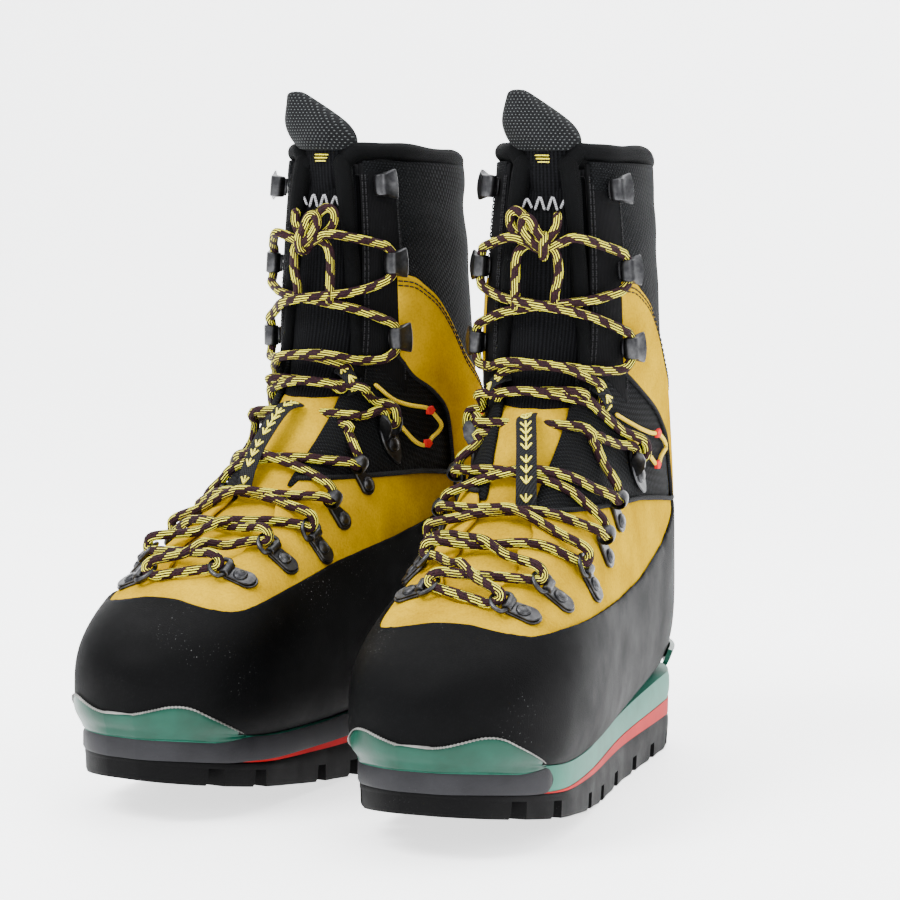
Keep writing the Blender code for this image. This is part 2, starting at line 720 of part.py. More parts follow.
def build_stays(side):
    """The stiff strips beside the cuff's opening, each with its three speed hooks riveted on."""
    for flank, sign in FLANKS.items():
        angles = sign * np.linspace(*STAY_ANGLES, 4)
        if sign < 0.0:
            angles = angles[::-1]
        bm = sheet(np.linspace(0.50, 0.995, 8), angles, OVERLAY, above_stay_bottom, below_stay_top)
        stay = finish_object(side, f"lace_stay_{flank}", bm, "mesh_black")
        for number, (s, x, z) in enumerate(HOOKS, start=1):
            bm = bmesh.new()
            swept(bm, frame_at(s, sign * x, z), HOOK_OUTLINE, HOOK_WIDTH / 2.0)
            hook = finish_object(side, f"cutter_hook_{flank}_{number}", bm, "gunmetal", smooth=False)
            hook.hide_render = True
            hook.display_type = "WIRE"
            union = stay.modifiers.new(f"hook_{number}", "BOOLEAN")
            union.operation = "UNION"
            union.solver = "EXACT"
            union.object = hook


def build_tongue_tip(side):
    """The tall leaf-shaped end of the tongue, above its crease."""
    sections = []
    for s, z, half in spline(TIP_LINE, np.linspace(0.0, 1.0, 8)):
        across = np.linspace(-1.0, 1.0, 7)
        bowed = s - TIP_BOW * (half / TIP_BOW_HALF) * across ** 2
        thickness = TIP_THICKNESS * (1.0 - TIP_THINNING * across ** 2)
        front = list(zip(half * across, bowed, [z] * 7))
        behind = list(zip(half * across, bowed - thickness, [z] * 7))
        sections.append(front + behind[::-1])
    bm = bmesh.new()
    loft(bm, sections)
    finish_object(side, "tongue_tip", bm, "mesh_black")


def lace_stops():
    """Where the lace turns, from the toe up: the rings and the hooks, as frames on both sides."""
    flanks = []
    for flank, sign in FLANKS.items():
        flanks.append([frame_at(s, sign * x, z) for s, x, z in RINGS[flank] + LOOPS + HOOKS[:2]])
    return list(zip(*flanks))


def build_lace(side):
    """One cord zigzagging over the throat, from the lowest ring to the second hook."""
    path = []
    for level, (outer, inner) in enumerate(lace_stops()):
        pair = (outer, inner) if level % 2 == 0 else (inner, outer)
        ends = [origin - away * LACE_REACH + normal * LACE_LIFT for origin, away, _, normal in pair]
        outwards = (pair[0][3] + pair[1][3]).normalized()
        crown = (ends[0] + ends[1]) / 2.0 + outwards * LACE_CROWN
        path += [ends[0], crown, ends[1]]
    smooth = [Vector(point) for point in spline([tuple(point) for point in path], np.linspace(0.0, 1.0, 40))]
    bm = bmesh.new()
    tube(bm, smooth, LACE_RADIUS, 5)
    finish_object(side, "lace", bm, "lace_yellow")


def build_boot(side):
    build_sole(side)
    build_upper(side)
    build_soft(side)
    build_cuff(side)
    build_rings(side)
    build_stays(side)
    build_tongue_tip(side)
    build_lace(side)


def main():
    clear_scene()
    for side in SIDES:
        build_boot(side)


main()
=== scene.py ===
import json
import math

import bmesh
import bpy
import numpy as np
from mathutils import Matrix, Vector


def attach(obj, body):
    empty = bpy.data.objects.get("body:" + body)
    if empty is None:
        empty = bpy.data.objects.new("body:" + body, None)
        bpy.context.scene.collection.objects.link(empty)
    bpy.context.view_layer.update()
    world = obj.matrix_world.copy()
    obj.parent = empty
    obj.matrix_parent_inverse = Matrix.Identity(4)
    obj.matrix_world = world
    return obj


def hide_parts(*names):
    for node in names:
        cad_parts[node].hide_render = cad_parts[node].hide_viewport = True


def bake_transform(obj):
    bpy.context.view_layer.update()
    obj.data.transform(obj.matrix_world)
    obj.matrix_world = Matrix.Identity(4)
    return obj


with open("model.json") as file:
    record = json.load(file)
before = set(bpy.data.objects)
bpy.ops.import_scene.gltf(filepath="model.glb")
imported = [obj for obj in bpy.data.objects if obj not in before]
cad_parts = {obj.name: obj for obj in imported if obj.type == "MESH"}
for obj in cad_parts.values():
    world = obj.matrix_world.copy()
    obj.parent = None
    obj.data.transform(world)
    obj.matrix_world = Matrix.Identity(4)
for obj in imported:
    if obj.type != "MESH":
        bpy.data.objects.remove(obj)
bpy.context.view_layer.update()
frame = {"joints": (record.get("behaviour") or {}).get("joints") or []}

# The looks of a pair of mountaineering boots. A boot is drawn once in its own plan: x runs from the boot's
# middle line towards the foot's outer side, s from the heel towards the toe, and z up from the floor. Each
# piece is then placed twice, the second time mirrored, where the frame's ankle joints say the boots stand.

SIDES = {"left": 1.0, "right": -1.0}
JOINTS = {joint["name"]: joint for joint in frame["joints"]}
PIVOT = np.array((0.0, 0.070, 0.131))

# The boot's form, from the nose to the collar. Each row is a closed section: back s, back z, front s,
# front z, outer half width, inner half width, middle x, height share of the widest place, squareness
# below and above it.
FORM = (
    (0.290, 0.0325, 0.290, 0.0820, 0.0410, 0.0400, -0.0030, 0.46, 4.0, 2.7),
    (0.262, 0.0288, 0.262, 0.0870, 0.0432, 0.0420, -0.0015, 0.45, 4.0, 2.7),
    (0.235, 0.0250, 0.237, 0.0980, 0.0455, 0.0435, 0.0000, 0.43, 4.0, 2.6),
    (0.205, 0.0235, 0.210, 0.1130, 0.0462, 0.0428, 0.0000, 0.41, 4.0, 2.4),
    (0.170, 0.0235, 0.186, 0.1270, 0.0445, 0.0410, 0.0000, 0.39, 4.0, 2.3),
    (0.130, 0.0248, 0.167, 0.1470, 0.0420, 0.0395, 0.0000, 0.39, 4.0, 2.2),
    (0.090, 0.0270, 0.155, 0.1630, 0.0408, 0.0390, 0.0000, 0.40, 3.8, 2.15),
    (0.055, 0.0292, 0.149, 0.1730, 0.0402, 0.0390, 0.0000, 0.41, 3.6, 2.15),
    (0.024, 0.0312, 0.146, 0.1790, 0.0398, 0.0390, 0.0000, 0.43, 3.2, 2.15),
    (0.005, 0.0390, 0.1445, 0.1830, 0.0395, 0.0388, 0.0000, 0.45, 2.7, 2.2),
    (0.000, 0.0600, 0.1430, 0.1880, 0.0395, 0.0388, 0.0000, 0.47, 2.4, 2.2),
    (0.001, 0.0860, 0.1415, 0.1940, 0.0395, 0.0388, 0.0000, 0.48, 2.3, 2.2),
    (0.006, 0.1120, 0.1400, 0.2030, 0.0394, 0.0386, 0.0000, 0.49, 2.2, 2.25),
    (0.013, 0.1410, 0.1390, 0.2160, 0.0388, 0.0380, 0.0000, 0.50, 2.2, 2.25),
    (0.0185, 0.1720, 0.1380, 0.2310, 0.0377, 0.0370, 0.0000, 0.50, 2.2, 2.25),
    (0.0235, 0.2060, 0.1375, 0.2470, 0.0361, 0.0355, 0.0000, 0.50, 2.2, 2.25),
    (0.0280, 0.2400, 0.1370, 0.2610, 0.0342, 0.0336, 0.0000, 0.50, 2.2, 2.25),
    (0.0320, 0.2720, 0.1370, 0.2720, 0.0322, 0.0316, 0.0000, 0.50, 2.2, 2.25),
)
NOSE_START = 0.232
NOSE_Z = 0.0570
NOSE_POWER = 2.4
NOSE_FLOOR_POWER = 6.0

# The sole: its length, and heights of its layers as (s, z).
SOLE_LENGTH = 0.288
TOE_ROUND = 0.060
HEEL_ROUND = 0.036
TOE_SPRING = 0.018
SPRING_START = 0.150
SPRING_POWER = 1.3
OUTSOLE_TOP = ((0.0, 0.0160), (0.170, 0.0165), (0.235, 0.0200), (0.288, 0.0275))
FEATHER_LINE = ((0.0, 0.0370), (0.055, 0.0350), (0.130, 0.0305), (0.190, 0.0290), (0.235, 0.0307),
                (0.288, 0.0385))
SOLE_WIDTHS = ((0.0340, 0.0330, 0.0), (0.0345, 0.0335, 0.0), (0.0345, 0.0335, 0.0), (0.0385, 0.0365, 0.0),
               (0.0415, 0.0400, 0.0), (0.0385, 0.0375, -0.003))
WEDGE_TIP_S = 0.258
WEDGE_HEEL = 0.008

# Seams of the upper, as (s, z) or (s, half width).
RAND_OUTER = ((0.000, 0.1300), (0.030, 0.1200), (0.040, 0.1148), (0.0715, 0.1000), (0.112, 0.0901),
              (0.150, 0.0866), (0.190, 0.0858), (0.234, 0.0850), (0.250, 0.0835))
RAND_INNER = ((0.000, 0.1300), (0.030, 0.1220), (0.080, 0.1130), (0.130, 0.1040), (0.177, 0.0977),
              (0.217, 0.0903), (0.247, 0.0838))
# The rand's edge over the toes, as (distance from the middle, z), out to the notch where it meets the sides.
RAND_TOE = ((0.000, 0.0880), (0.008, 0.0877), (0.016, 0.0862), (0.024, 0.0848), (0.030, 0.0838))
FOOT_TOP = ((0.000, 0.1180), (0.050, 0.1190), (0.073, 0.1215), (0.104, 0.1243), (0.154, 0.1252),
            (0.200, 0.1262))
INNER_RISE = 0.0065
THROAT = ((0.130, 0.0135), (0.186, 0.0135), (0.195, 0.0140), (0.230, 0.0145), (0.238, 0.0105),
          (0.243, 0.0000), (0.247, -0.0060))
SCALLOP = 0.0020
SCALLOP_S = 0.2195
RING_PITCH = 0.0218
ANKLE_TOP_OUTER = ((0.040, 0.110), (0.046, 0.1224), (0.0547, 0.1333), (0.062, 0.148), (0.082, 0.161),
                   (0.100, 0.1703), (0.1154, 0.1799), (0.150, 0.1960))
ANKLE_TOP_INNER = ((0.074, 0.110), (0.0780, 0.1300), (0.0805, 0.150), (0.0849, 0.1591), (0.0963, 0.1676),
                   (0.1087, 0.1736), (0.117, 0.1838), (0.150, 0.1980))
DOME_TOP = ((0.000, 0.158), (0.040, 0.168), (0.066, 0.183), (0.080, 0.1990), (0.0916, 0.2100),
            (0.1081, 0.2190), (0.125, 0.2200))
FLAP_HALF = ((0.128, 0.0190), (0.1504, 0.0165), (0.1624, 0.0145), (0.1748, 0.0118), (0.186, 0.0110))

# Lacing hardware: rivets as (s, half width, z), and turns of the surface for the rest.
FLANKS = {"outer": 1.0, "inner": -1.0}
RINGS = {
    "outer": ((0.2415, 0.0250, 0.0920), (0.2215, 0.0341, 0.0957), (0.1905, 0.0396, 0.0975)),
    "inner": ((0.2345, 0.0236, 0.0957), (0.2116, 0.0303, 0.1010), (0.1871, 0.0340, 0.1040)),
}
LOOPS = {
    "outer": ((0.1626, 0.0383, 0.1052), (0.1387, 0.0370, 0.1176)),
    "inner": ((0.1668, 0.0325, 0.1142), (0.1458, 0.0319, 0.1277)),
}
LOCKS = {"outer": (0.1047, 0.0364, 0.1343), "inner": (0.1239, 0.0317, 0.1439)}
HOOKS = {
    "outer": ((0.1150, 0.0330, 0.1905), (0.1165, 0.0315, 0.2235), (0.1200, 0.0275, 0.2580)),
    "inner": ((0.1190, 0.0305, 0.1915), (0.1205, 0.0290, 0.2245), (0.1235, 0.0255, 0.2590)),
}
# Webbing loops on the tongue, each from its upper to its lower end.
KEEPERS = {
    "outer": ((0.1322, 0.0228, 0.1756), (0.1261, 0.0277, 0.1626)),
    "inner": ((0.1415, 0.0150, 0.1790), (0.1375, 0.0200, 0.1660)),
}
STRAP = ((0.1850, 0.0087, 0.1265), (0.1540, -0.0005, 0.1640))
WIRE_RADIUS = 0.0010
RING_HALF_WIDTH = 0.0058
RING_REACH = 0.0075
RING_CORNER = 0.0018
BAR_REACH = 0.0062
BAR_HEIGHT = 0.0014
CLIP_SHEET = 0.0009
LACE_RADIUS = 0.0021


# Geometry of the plan.

def spline(rows, t):
    """Natural cubic spline through evenly spaced rows, read at t from 0 (first row) to 1 (last row)."""
    rows = np.asarray(rows, dtype=float)
    count = len(rows)
    system = np.eye(count)
    change = np.zeros_like(rows)
    for i in range(1, count - 1):
        system[i, i - 1:i + 2] = (1.0, 4.0, 1.0)
        change[i] = 6.0 * (rows[i - 1] - 2.0 * rows[i] + rows[i + 1])
    bend = np.linalg.solve(system, change)
    place = np.clip(t, 0.0, 1.0) * (count - 1)
    i = np.minimum(place.astype(int), count - 2)
    f = (place - i)[:, None]
    g = 1.0 - f
    return g * rows[i] + f * rows[i + 1] + ((g ** 3 - g) * bend[i] + (f ** 3 - f) * bend[i + 1]) / 6.0


def along(points, s, soft=0.003):
    """A seam's (s, value) points read at s, with its corners rounded over a soft length."""
    places, values = zip(*points)
    reads = [np.interp(s + shift * soft, places, values) for shift in (-1.0, -0.5, 0.0, 0.5, 1.0)]
    return sum(reads) / len(reads)


def roundness(share, power):
    """How far a rounded end still stands out, from 1 at share 0 to 0 at share 1."""
    return (1.0 - np.clip(share, 0.0, 1.0) ** power) ** (1.0 / power)


def signed_power(value, power):
    return np.sign(value) * np.abs(value) ** power


def step(low, high, value):
    """Smooth change from 0 at low to 1 at high."""
    t = np.clip((value - low) / (high - low), 0.0, 1.0)
    return t * t * (3.0 - 2.0 * t)


def form_points(u, v):
    """Points of the form: u runs from the nose (0) to the collar (1), v turns from the front outwards."""
    u = np.atleast_1d(np.asarray(u, dtype=float))
    v = np.atleast_1d(np.asarray(v, dtype=float))
    rows = spline(FORM, u)
    back_s, back_z, front_s, front_z, outer, inner, middle, share, low, high = rows.T
    reach = (back_s - NOSE_START) / (FORM[0][0] - NOSE_START)
    nose = roundness(reach, NOSE_POWER)
    back_z = NOSE_Z + (back_z - NOSE_Z) * roundness(reach, NOSE_FLOOR_POWER)
    front_z = NOSE_Z + (front_z - NOSE_Z) * nose
    c = np.cos(v)
    n = np.sin(v)
    power = 2.0 / (2.0 + (np.where(c > 0.0, high, low) - 2.0) * nose)
    height = share + np.where(c > 0.0, 1.0 - share, share) * signed_power(c, power)
    x = middle + np.where(n > 0.0, outer, inner) * nose * signed_power(n, power)
    s = back_s + height * (front_s - back_s)
    z = back_z + height * (front_z - back_z)
    return np.stack([x, s, z], axis=1)


def form_normals(u, v):
    """Outward unit normals of the form."""
    gap = 0.002
    u = np.clip(np.atleast_1d(u), gap, 1.0 - gap)
    v = np.atleast_1d(v)
    along_u = form_points(u + gap, v) - form_points(u - gap, v)
    along_v = form_points(u, v + gap) - form_points(u, v - gap)
    normals = np.cross(along_u, along_v)
    return normals / np.maximum(np.linalg.norm(normals, axis=1, keepdims=True), 1e-12)


def spread(us, vs):
    """A grid of places (u, v) on the form, and their points."""
    us, vs = (grid.ravel() for grid in np.meshgrid(us, vs))
    return us, vs, form_points(us, vs)


COARSE = spread(np.linspace(0.02, 0.99, 260), np.linspace(-math.pi, math.pi, 360))


def locate(s, x, z):
    """The (u, v) of the form's point nearest to a plan point: found on a coarse grid, then on finer ones."""
    grid = COARSE
    for fine_u, fine_v in ((0.0040, 0.0180), (0.0007, 0.0030), (0.0, 0.0)):
        us, vs, points = grid
        nearest = np.argmin(np.linalg.norm(points - (x, s, z), axis=1))
        u, v = us[nearest], vs[nearest]
        grid = spread(u + fine_u * np.linspace(-1.0, 1.0, 13), v + fine_v * np.linspace(-1.0, 1.0, 13))
    return u, v


def on_form(u, v, depth=0.0):
    return Vector((form_points(u, v) + form_normals(u, v) * depth)[0])


def sole_sides(s, inset=0.0):
    """Inner and outer x of the sole's outline at s, drawn in by inset."""
    length = SOLE_LENGTH - inset
    s = np.asarray(s, dtype=float)
    outer, inner, middle = spline(SOLE_WIDTHS, np.atleast_1d(s / SOLE_LENGTH)).T
    toe = roundness((s - (length - TOE_ROUND)) / TOE_ROUND, 2.2)
    heel = roundness((HEEL_ROUND + inset - s) / HEEL_ROUND, 2.2)
    return middle - (inner - inset) * toe * heel, middle + (outer - inset) * toe * heel


def sole_bottom(s):
    return TOE_SPRING * np.clip((s - SPRING_START) / (SOLE_LENGTH - SPRING_START), 0.0, 1.0) ** SPRING_POWER


def outsole_top(s):
    return along(OUTSOLE_TOP, s, 0.012)


def wedge_top(s):
    return outsole_top(s) + WEDGE_HEEL * np.clip(1.0 - s / WEDGE_TIP_S, 0.0, 1.0)


def sole_top(s):
    """Height of the feather line, where the upper meets the sole."""
    return along(FEATHER_LINE, s, 0.012)


# Placing pieces.

def boot_frame(side):
    """The boot's axes in the room: across, forwards and the joint's place, read from its ankle joint."""
    joint = JOINTS[f"{side}_ankle_flex"]
    across = np.array(joint["axis"]) / np.linalg.norm(joint["axis"])
    forward = np.cross(across, (0.0, 0.0, 1.0))
    return across * SIDES[side], forward, np.array(joint["pos_m"])


def in_room(side, points):
    """Plan points (x, s, z) of one boot, in the room."""
    across, forward, pivot = boot_frame(side)
    local = np.asarray(points, dtype=float).reshape(-1, 3) - PIVOT
    return pivot + local[:, :1] * across + local[:, 1:2] * forward + local[:, 2:] * (0.0, 0.0, 1.0)


class Shape:
    """A plan-space mesh: points, faces and, for each face, its corners' texture places."""

    def __init__(self):
        self.points = []
        self.faces = []
        self.places = []

    def add(self, points, faces, places=None):
        first = len(self.points)
        self.points.extend([tuple(point) for point in points])
        self.faces.extend([tuple(first + i for i in face) for face in faces])
        if places is None:
            places = [[(points[i][0] + points[i][1], points[i][2]) for i in face] for face in faces]
        self.places.extend(places)
        return self

    def merge(self, other):
        return self.add(other.points, other.faces, other.places)


def from_bmesh(bm):
    """A Shape with a bmesh's faces. Frees the bmesh."""
    layer = bm.loops.layers.uv.active
    bm.verts.index_update()
    shape = Shape()
    points = [tuple(vertex.co) for vertex in bm.verts]
    faces = [[vertex.index for vertex in face.verts] for face in bm.faces]
    places = [[tuple(loop[layer].uv) for loop in face.loops] for face in bm.faces] if layer else None
    bm.free()
    return shape.add(points, faces, places)


def make_mesh(name, points, shape, mirrored=False):
    mesh = bpy.data.meshes.new(name)
    faces = shape.faces
    places = shape.places
    if mirrored:
        faces = [face[::-1] for face in faces]
        places = [corners[::-1] for corners in places]
    mesh.from_pydata([tuple(point) for point in points], [], faces)
    layer = mesh.uv_layers.new(name="UVMap")
    layer.data.foreach_set("uv", np.array([place for corners in places for place in corners]).ravel())
    return mesh


def subdivided(shape):
    """The shape after Catmull-Clark subdivision."""
    mesh = make_mesh("rough", shape.points, shape)
    rough = bpy.data.objects.new("rough", mesh)
    bpy.context.scene.collection.objects.link(rough)
    smooth = rough.modifiers.new("smooth", "SUBSURF")
    smooth.levels = smooth.render_levels = 1
    depsgraph = bpy.context.evaluated_depsgraph_get()
    done = bpy.data.meshes.new_from_object(rough.evaluated_get(depsgraph))
    points = np.empty(len(done.vertices) * 3)
    done.vertices.foreach_get("co", points)
    corners = np.empty(len(done.loops) * 2)
    done.uv_layers[0].data.foreach_get("uv", corners)
    corners = corners.reshape(-1, 2)
    faces = [tuple(polygon.vertices) for polygon in done.polygons]
    places = [[tuple(corners[i]) for i in polygon.loop_indices] for polygon in done.polygons]
    bpy.data.objects.remove(rough)
    bpy.data.meshes.remove(mesh)
    bpy.data.meshes.remove(done)
    return Shape().add(points.reshape(-1, 3).tolist(), faces, places)


def place(name, shapes, material, body, slot, replaces=(), sharp=40.0):
    """Put one piece on each boot. body is foot, cuff or a joint's own body, which the piece is attached to;
    bend, for what crosses the ankle, and fold leave the piece unattached where it stands.

    A dictionary of shapes gives each boot its own.
    """
    for side in SIDES:
        shape = shapes[side] if isinstance(shapes, dict) else shapes
        mesh = make_mesh(f"{side}_{name}", in_room(side, shape.points), shape, mirrored=side == "right")
        mesh.shade_smooth()
        mesh.set_sharp_from_angle(angle=math.radians(sharp))
        mesh.materials.append(material)
        piece = bpy.data.objects.new(f"{side}_{name}_look", mesh)
        bpy.context.scene.collection.objects.link(piece)
        if body == "bend":
            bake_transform(piece)
        elif body == "fold":
            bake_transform(piece)
        else:
            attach(piece, f"{side}_{body}")
        if replaces:
            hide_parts(*[f"{side}_{node}" for node in replaces])


# Sheets of the upper: flat patterns in (u, v), cut along seams and wrapped on the form.

def flat_pattern(us, vs):
    bm = bmesh.new()
    rows = [[bm.verts.new((u, v, 0.0)) for v in vs] for u in us]
    for row, following in zip(rows, rows[1:]):
        for j in range(len(vs) - 1):
            bm.faces.new((row[j], row[j + 1], following[j + 1], following[j]))
    return bm


def field_at(field, flat):
    u, v = flat.T
    x, s, z = form_points(u, v).T
    return field(x, s, z, u, v)


def crossings(bm, values, field):
    """The edges that a seam crosses, and how far along each one it crosses, found by halving."""
    edges = [edge for edge in bm.edges if values[edge.verts[0]] * values[edge.verts[1]] < 0.0]
    if not edges:
        return []
    starts = np.array([edge.verts[0].co[:2] for edge in edges])
    ends = np.array([edge.verts[1].co[:2] for edge in edges])
    sign = np.sign([values[edge.verts[0]] for edge in edges])
    low = np.zeros(len(edges))
    high = np.ones(len(edges))
    for _ in range(12):
        middle = (low + high) / 2.0
        same = sign * field_at(field, starts + (ends - starts) * middle[:, None]) > 0.0
        low = np.where(same, middle, low)
        high = np.where(same, high, middle)
    return list(zip(edges, low))


SNAP = 0.30


def cut(bm, field):
    """Cut a flat pattern along a seam and keep the side where the seam's field is above zero."""
    flat = np.array([vertex.co[:2] for vertex in bm.verts])
    values = dict(zip(bm.verts, field_at(field, flat).tolist()))
    for edge, share in crossings(bm, values, field):
        a, b = edge.verts
        nearer = a if share < SNAP else b if share > 1.0 - SNAP else None
        if nearer and nearer.co.x > 0.0 and values[a] * values[b] < 0.0:
            nearer.co = a.co.lerp(b.co, share)
            values[nearer] = 0.0
    for edge, share in crossings(bm, values, field):
        _, middle = bmesh.utils.edge_split(edge, edge.verts[0], share)
        values[middle] = 0.0
    seam = [vertex for vertex in bm.verts if values[vertex] == 0.0]
    bmesh.ops.connect_verts(bm, verts=seam)
    outside = [face for face in bm.faces if sum(values[vertex] for vertex in face.verts) <= 0.0]
    bmesh.ops.delete(bm, geom=outside, context="FACES")
    loose = [vertex for vertex in bm.verts if not vertex.link_faces]
    bmesh.ops.delete(bm, geom=loose, context="VERTS")
    return bm


def surface_lengths():
    """Length along the outer side of the form, as (u, metres), for the texture places."""
    us = np.linspace(0.0, 1.0, 200)
    line = form_points(us, np.full(200, 0.9))
    steps = np.linalg.norm(np.diff(line, axis=0), axis=1)
    return us, np.concatenate([[0.0], np.cumsum(steps)])


LENGTHS = surface_lengths()
GIRTH = 0.0395


def wrap(pattern, outer, inner):
    """Wrap a flat pattern on the form as a closed sheet between two depths. A depth may be a function."""
    flat = np.array([vertex.co[:2] for vertex in pattern.verts])
    u, v = flat.T
    points = form_points(u, v)
    normals = form_normals(u, v)
    normals[u < 1e-6] = (0.0, 1.0, 0.0)
    pattern.verts.index_update()
    bm = bmesh.new()
    layer = bm.loops.layers.uv.new("UVMap")
    texture = np.stack([v * GIRTH, np.interp(u, *LENGTHS)], axis=1)
    sheets = []
    for depth in (outer, inner):
        value = depth(points, u, v, pattern) if callable(depth) else np.full(len(u), depth)
        sheets.append([bm.verts.new(point) for point in points + normals * value[:, None]])
    front, back = sheets

    def face(vertices, indices):
        made = bm.faces.new(vertices)
        for loop, i in zip(made.loops, indices):
            loop[layer].uv = texture[i]

    for flat_face in pattern.faces:
        corners = [vertex.index for vertex in flat_face.verts]
        face([front[i] for i in corners], corners)
        face([back[i] for i in reversed(corners)], corners[::-1])
    for edge in pattern.edges:
        a, b = edge.verts
        on_joint = all(min(abs(vertex.co.y), abs(2.0 * math.pi - vertex.co.y)) < 1e-6 for vertex in (a, b))
        on_joint = on_joint or max(a.co.x, b.co.x) < 1e-6
        if edge.is_boundary and not on_joint:
            i, j = a.index, b.index
            face((front[i], front[j], back[j], back[i]), (i, j, j, i))
    pattern.free()
    bmesh.ops.remove_doubles(bm, verts=bm.verts, dist=2e-5)
    bmesh.ops.dissolve_degenerate(bm, edges=bm.edges, dist=2e-5)
    bmesh.ops.recalc_face_normals(bm, faces=bm.faces)
    return from_bmesh(bm)


def sheet(us, vs, outer, inner, *seams):
    """A smooth sheet of the upper: its grid cut along seams and wrapped between two depths."""
    pattern = flat_pattern(us, vs)
    for seam in seams:
        cut(pattern, seam)
    return subdivided(wrap(pattern, outer, inner))


def seam_lines(us, vs, field, *limits):
    """The places (u, v) along a seam, as ordered lines, inside the other fields' limits."""
    pattern = flat_pattern(us, vs)
    for limit in limits:
        cut(pattern, limit)
    cut(pattern, field)
    flat = np.array([vertex.co[:2] for vertex in pattern.verts])
    close = np.abs(field_at(field, flat)) < 2e-5
    pattern.verts.index_update()
    links = {}
    for edge in pattern.edges:
        i, j = (vertex.index for vertex in edge.verts)
        if edge.is_boundary and close[i] and close[j]:
            links.setdefault(i, []).append(j)
            links.setdefault(j, []).append(i)
    pattern.free()
    lines = []
    while links:
        ends = [i for i, others in links.items() if len(others) == 1] or list(links)
        line = [ends[0]]
        while links.get(line[-1]):
            following = links[line[-1]].pop()
            links[following].remove(line[-1])
            line.append(following)
        for i in list(links):
            if not links[i]:
                del links[i]
        lines.append(flat[line])
    return [line for line in lines if len(line) > 3]


def resampled(line, pitch):
    """Places (u, v) at an even pitch, in metres, along a line of (u, v) places."""
    points = form_points(*np.asarray(line).T)
    steps = np.linalg.norm(np.diff(points, axis=0), axis=1)
    travelled = np.concatenate([[0.0], np.cumsum(steps)])
    count = max(2, int(travelled[-1] / pitch) + 1)
    where = np.linspace(0.0, travelled[-1], count)
    return np.stack([np.interp(where, travelled, np.asarray(line)[:, k]) for k in (0, 1)], axis=1)


# Round and swept shapes.

def catmull(points, count):
    """Smooth line through points, with count places."""
    points = [Vector(point) for point in points]
    padded = [points[0] * 2.0 - points[1]] + points + [points[-1] * 2.0 - points[-2]]
    line = []
    for t in np.linspace(0.0, len(points) - 1.0, count):
        i = min(int(t), len(points) - 2)
        f = t - i
        a, b, c, d = padded[i:i + 4]
        line.append(0.5 * (2.0 * b + (c - a) * f + (2.0 * a - 5.0 * b + 4.0 * c - d) * f * f
                           + (3.0 * b - a - 3.0 * c + d) * f ** 3))
    return line


def tube(path, radius, corners=10, closed=False, flatten=1.0):
    """A round tube along a path, with texture places (length, share of a turn)."""
    count = len(path)
    radii = radius if hasattr(radius, "__len__") else [radius] * count
    shape = Shape()
    points = []
    normal = None
    length = 0.0
    lengths = []
    for i, point in enumerate(path):
        before = path[i - 1] if closed or i > 0 else point
        after = path[(i + 1) % count] if closed or i + 1 < count else point
        forward = (after - before).normalized()
        if normal is None:
            normal = forward.orthogonal().normalized()
        normal = (normal - forward * normal.dot(forward)).normalized()
        side = forward.cross(normal)
        if i:
            length += (point - path[i - 1]).length
        lengths.append(length)
        for t in np.linspace(0.0, 2.0 * math.pi, corners, endpoint=False):
            points.append(point + (normal * math.cos(t) * flatten + side * math.sin(t)) * radii[i])
    faces = []
    places = []
    spans = range(count if closed else count - 1)
    for i in spans:
        after = (i + 1) % count
        far = lengths[i] + (path[after] - path[i]).length
        for k in range(corners):
            m = (k + 1) % corners
            faces.append((i * corners + k, i * corners + m, after * corners + m, after * corners + k))
            a, b = k / corners, (k + 1) / corners
            places.append([(lengths[i], a), (lengths[i], b), (far, b), (far, a)])
    if not closed:
        for end in (0, count - 1):
            ring = range(end * corners, (end + 1) * corners)
            faces.append(tuple(reversed(ring)) if end == 0 else tuple(ring))
            places.append([(lengths[end], 0.0)] * corners)
    return shape.add([tuple(point) for point in points], faces, places)


def rounded_tube(path, radii, corners=8, ease=0.55, shoulder=0.80):
    """A tube whose two ends are rounded. Its radii may be one radius."""
    if not hasattr(radii, "__len__"):
        radii = [radii] * len(path)
    first, last = radii[0], radii[-1]
    back = (path[0] - path[1]).normalized() * first
    front = (path[-1] - path[-2]).normalized() * last
    line = [path[0] + back * 0.9, path[0] + back * ease, *path,
            path[-1] + front * ease, path[-1] + front * 0.9]
    sizes = [first * 0.35, first * shoulder, *radii, last * shoulder, last * 0.35]
    return tube(line, sizes, corners)


def lathe(axes, profile, corners=24):
    """A turned shape: profile is (radius, height) from the axis at the bottom to the axis at the top."""
    turns = np.linspace(0.0, 2.0 * math.pi, corners, endpoint=False)
    return loft([[at(axes, radius * math.cos(t), radius * math.sin(t), height) for t in turns]
                 for radius, height in profile])


def drawn_in(outline, inset):
    """An outline drawn in towards its middle."""
    direction = outline - outline.mean(axis=0)
    size = np.maximum(np.linalg.norm(direction, axis=1, keepdims=True), 1e-9)
    return outline - direction / size * inset


def closed_shape(points, faces):
    """A Shape with its faces turned outwards."""
    bm = bmesh.new()
    vertices = [bm.verts.new(point) for point in points]
    for face in faces:
        bm.faces.new([vertices[i] for i in face])
    bmesh.ops.recalc_face_normals(bm, faces=bm.faces)
    return from_bmesh(bm)


def loft(sections, closed=False):
    """Bridge equal closed sections one after another, and close the ends unless the loft runs round."""
    count = len(sections[0])
    points = [point for section in sections for point in section]
    faces = []
    spans = len(sections) if closed else len(sections) - 1
    for i in range(spans):
        j = (i + 1) % len(sections)
        for k in range(count):
            m = (k + 1) % count
            faces.append((i * count + k, i * count + m, j * count + m, j * count + k))
    if not closed:
        faces.append(tuple(range(count)))
        faces.append(tuple(range((len(sections) - 1) * count, len(sections) * count))[::-1])
    return closed_shape(points, faces)


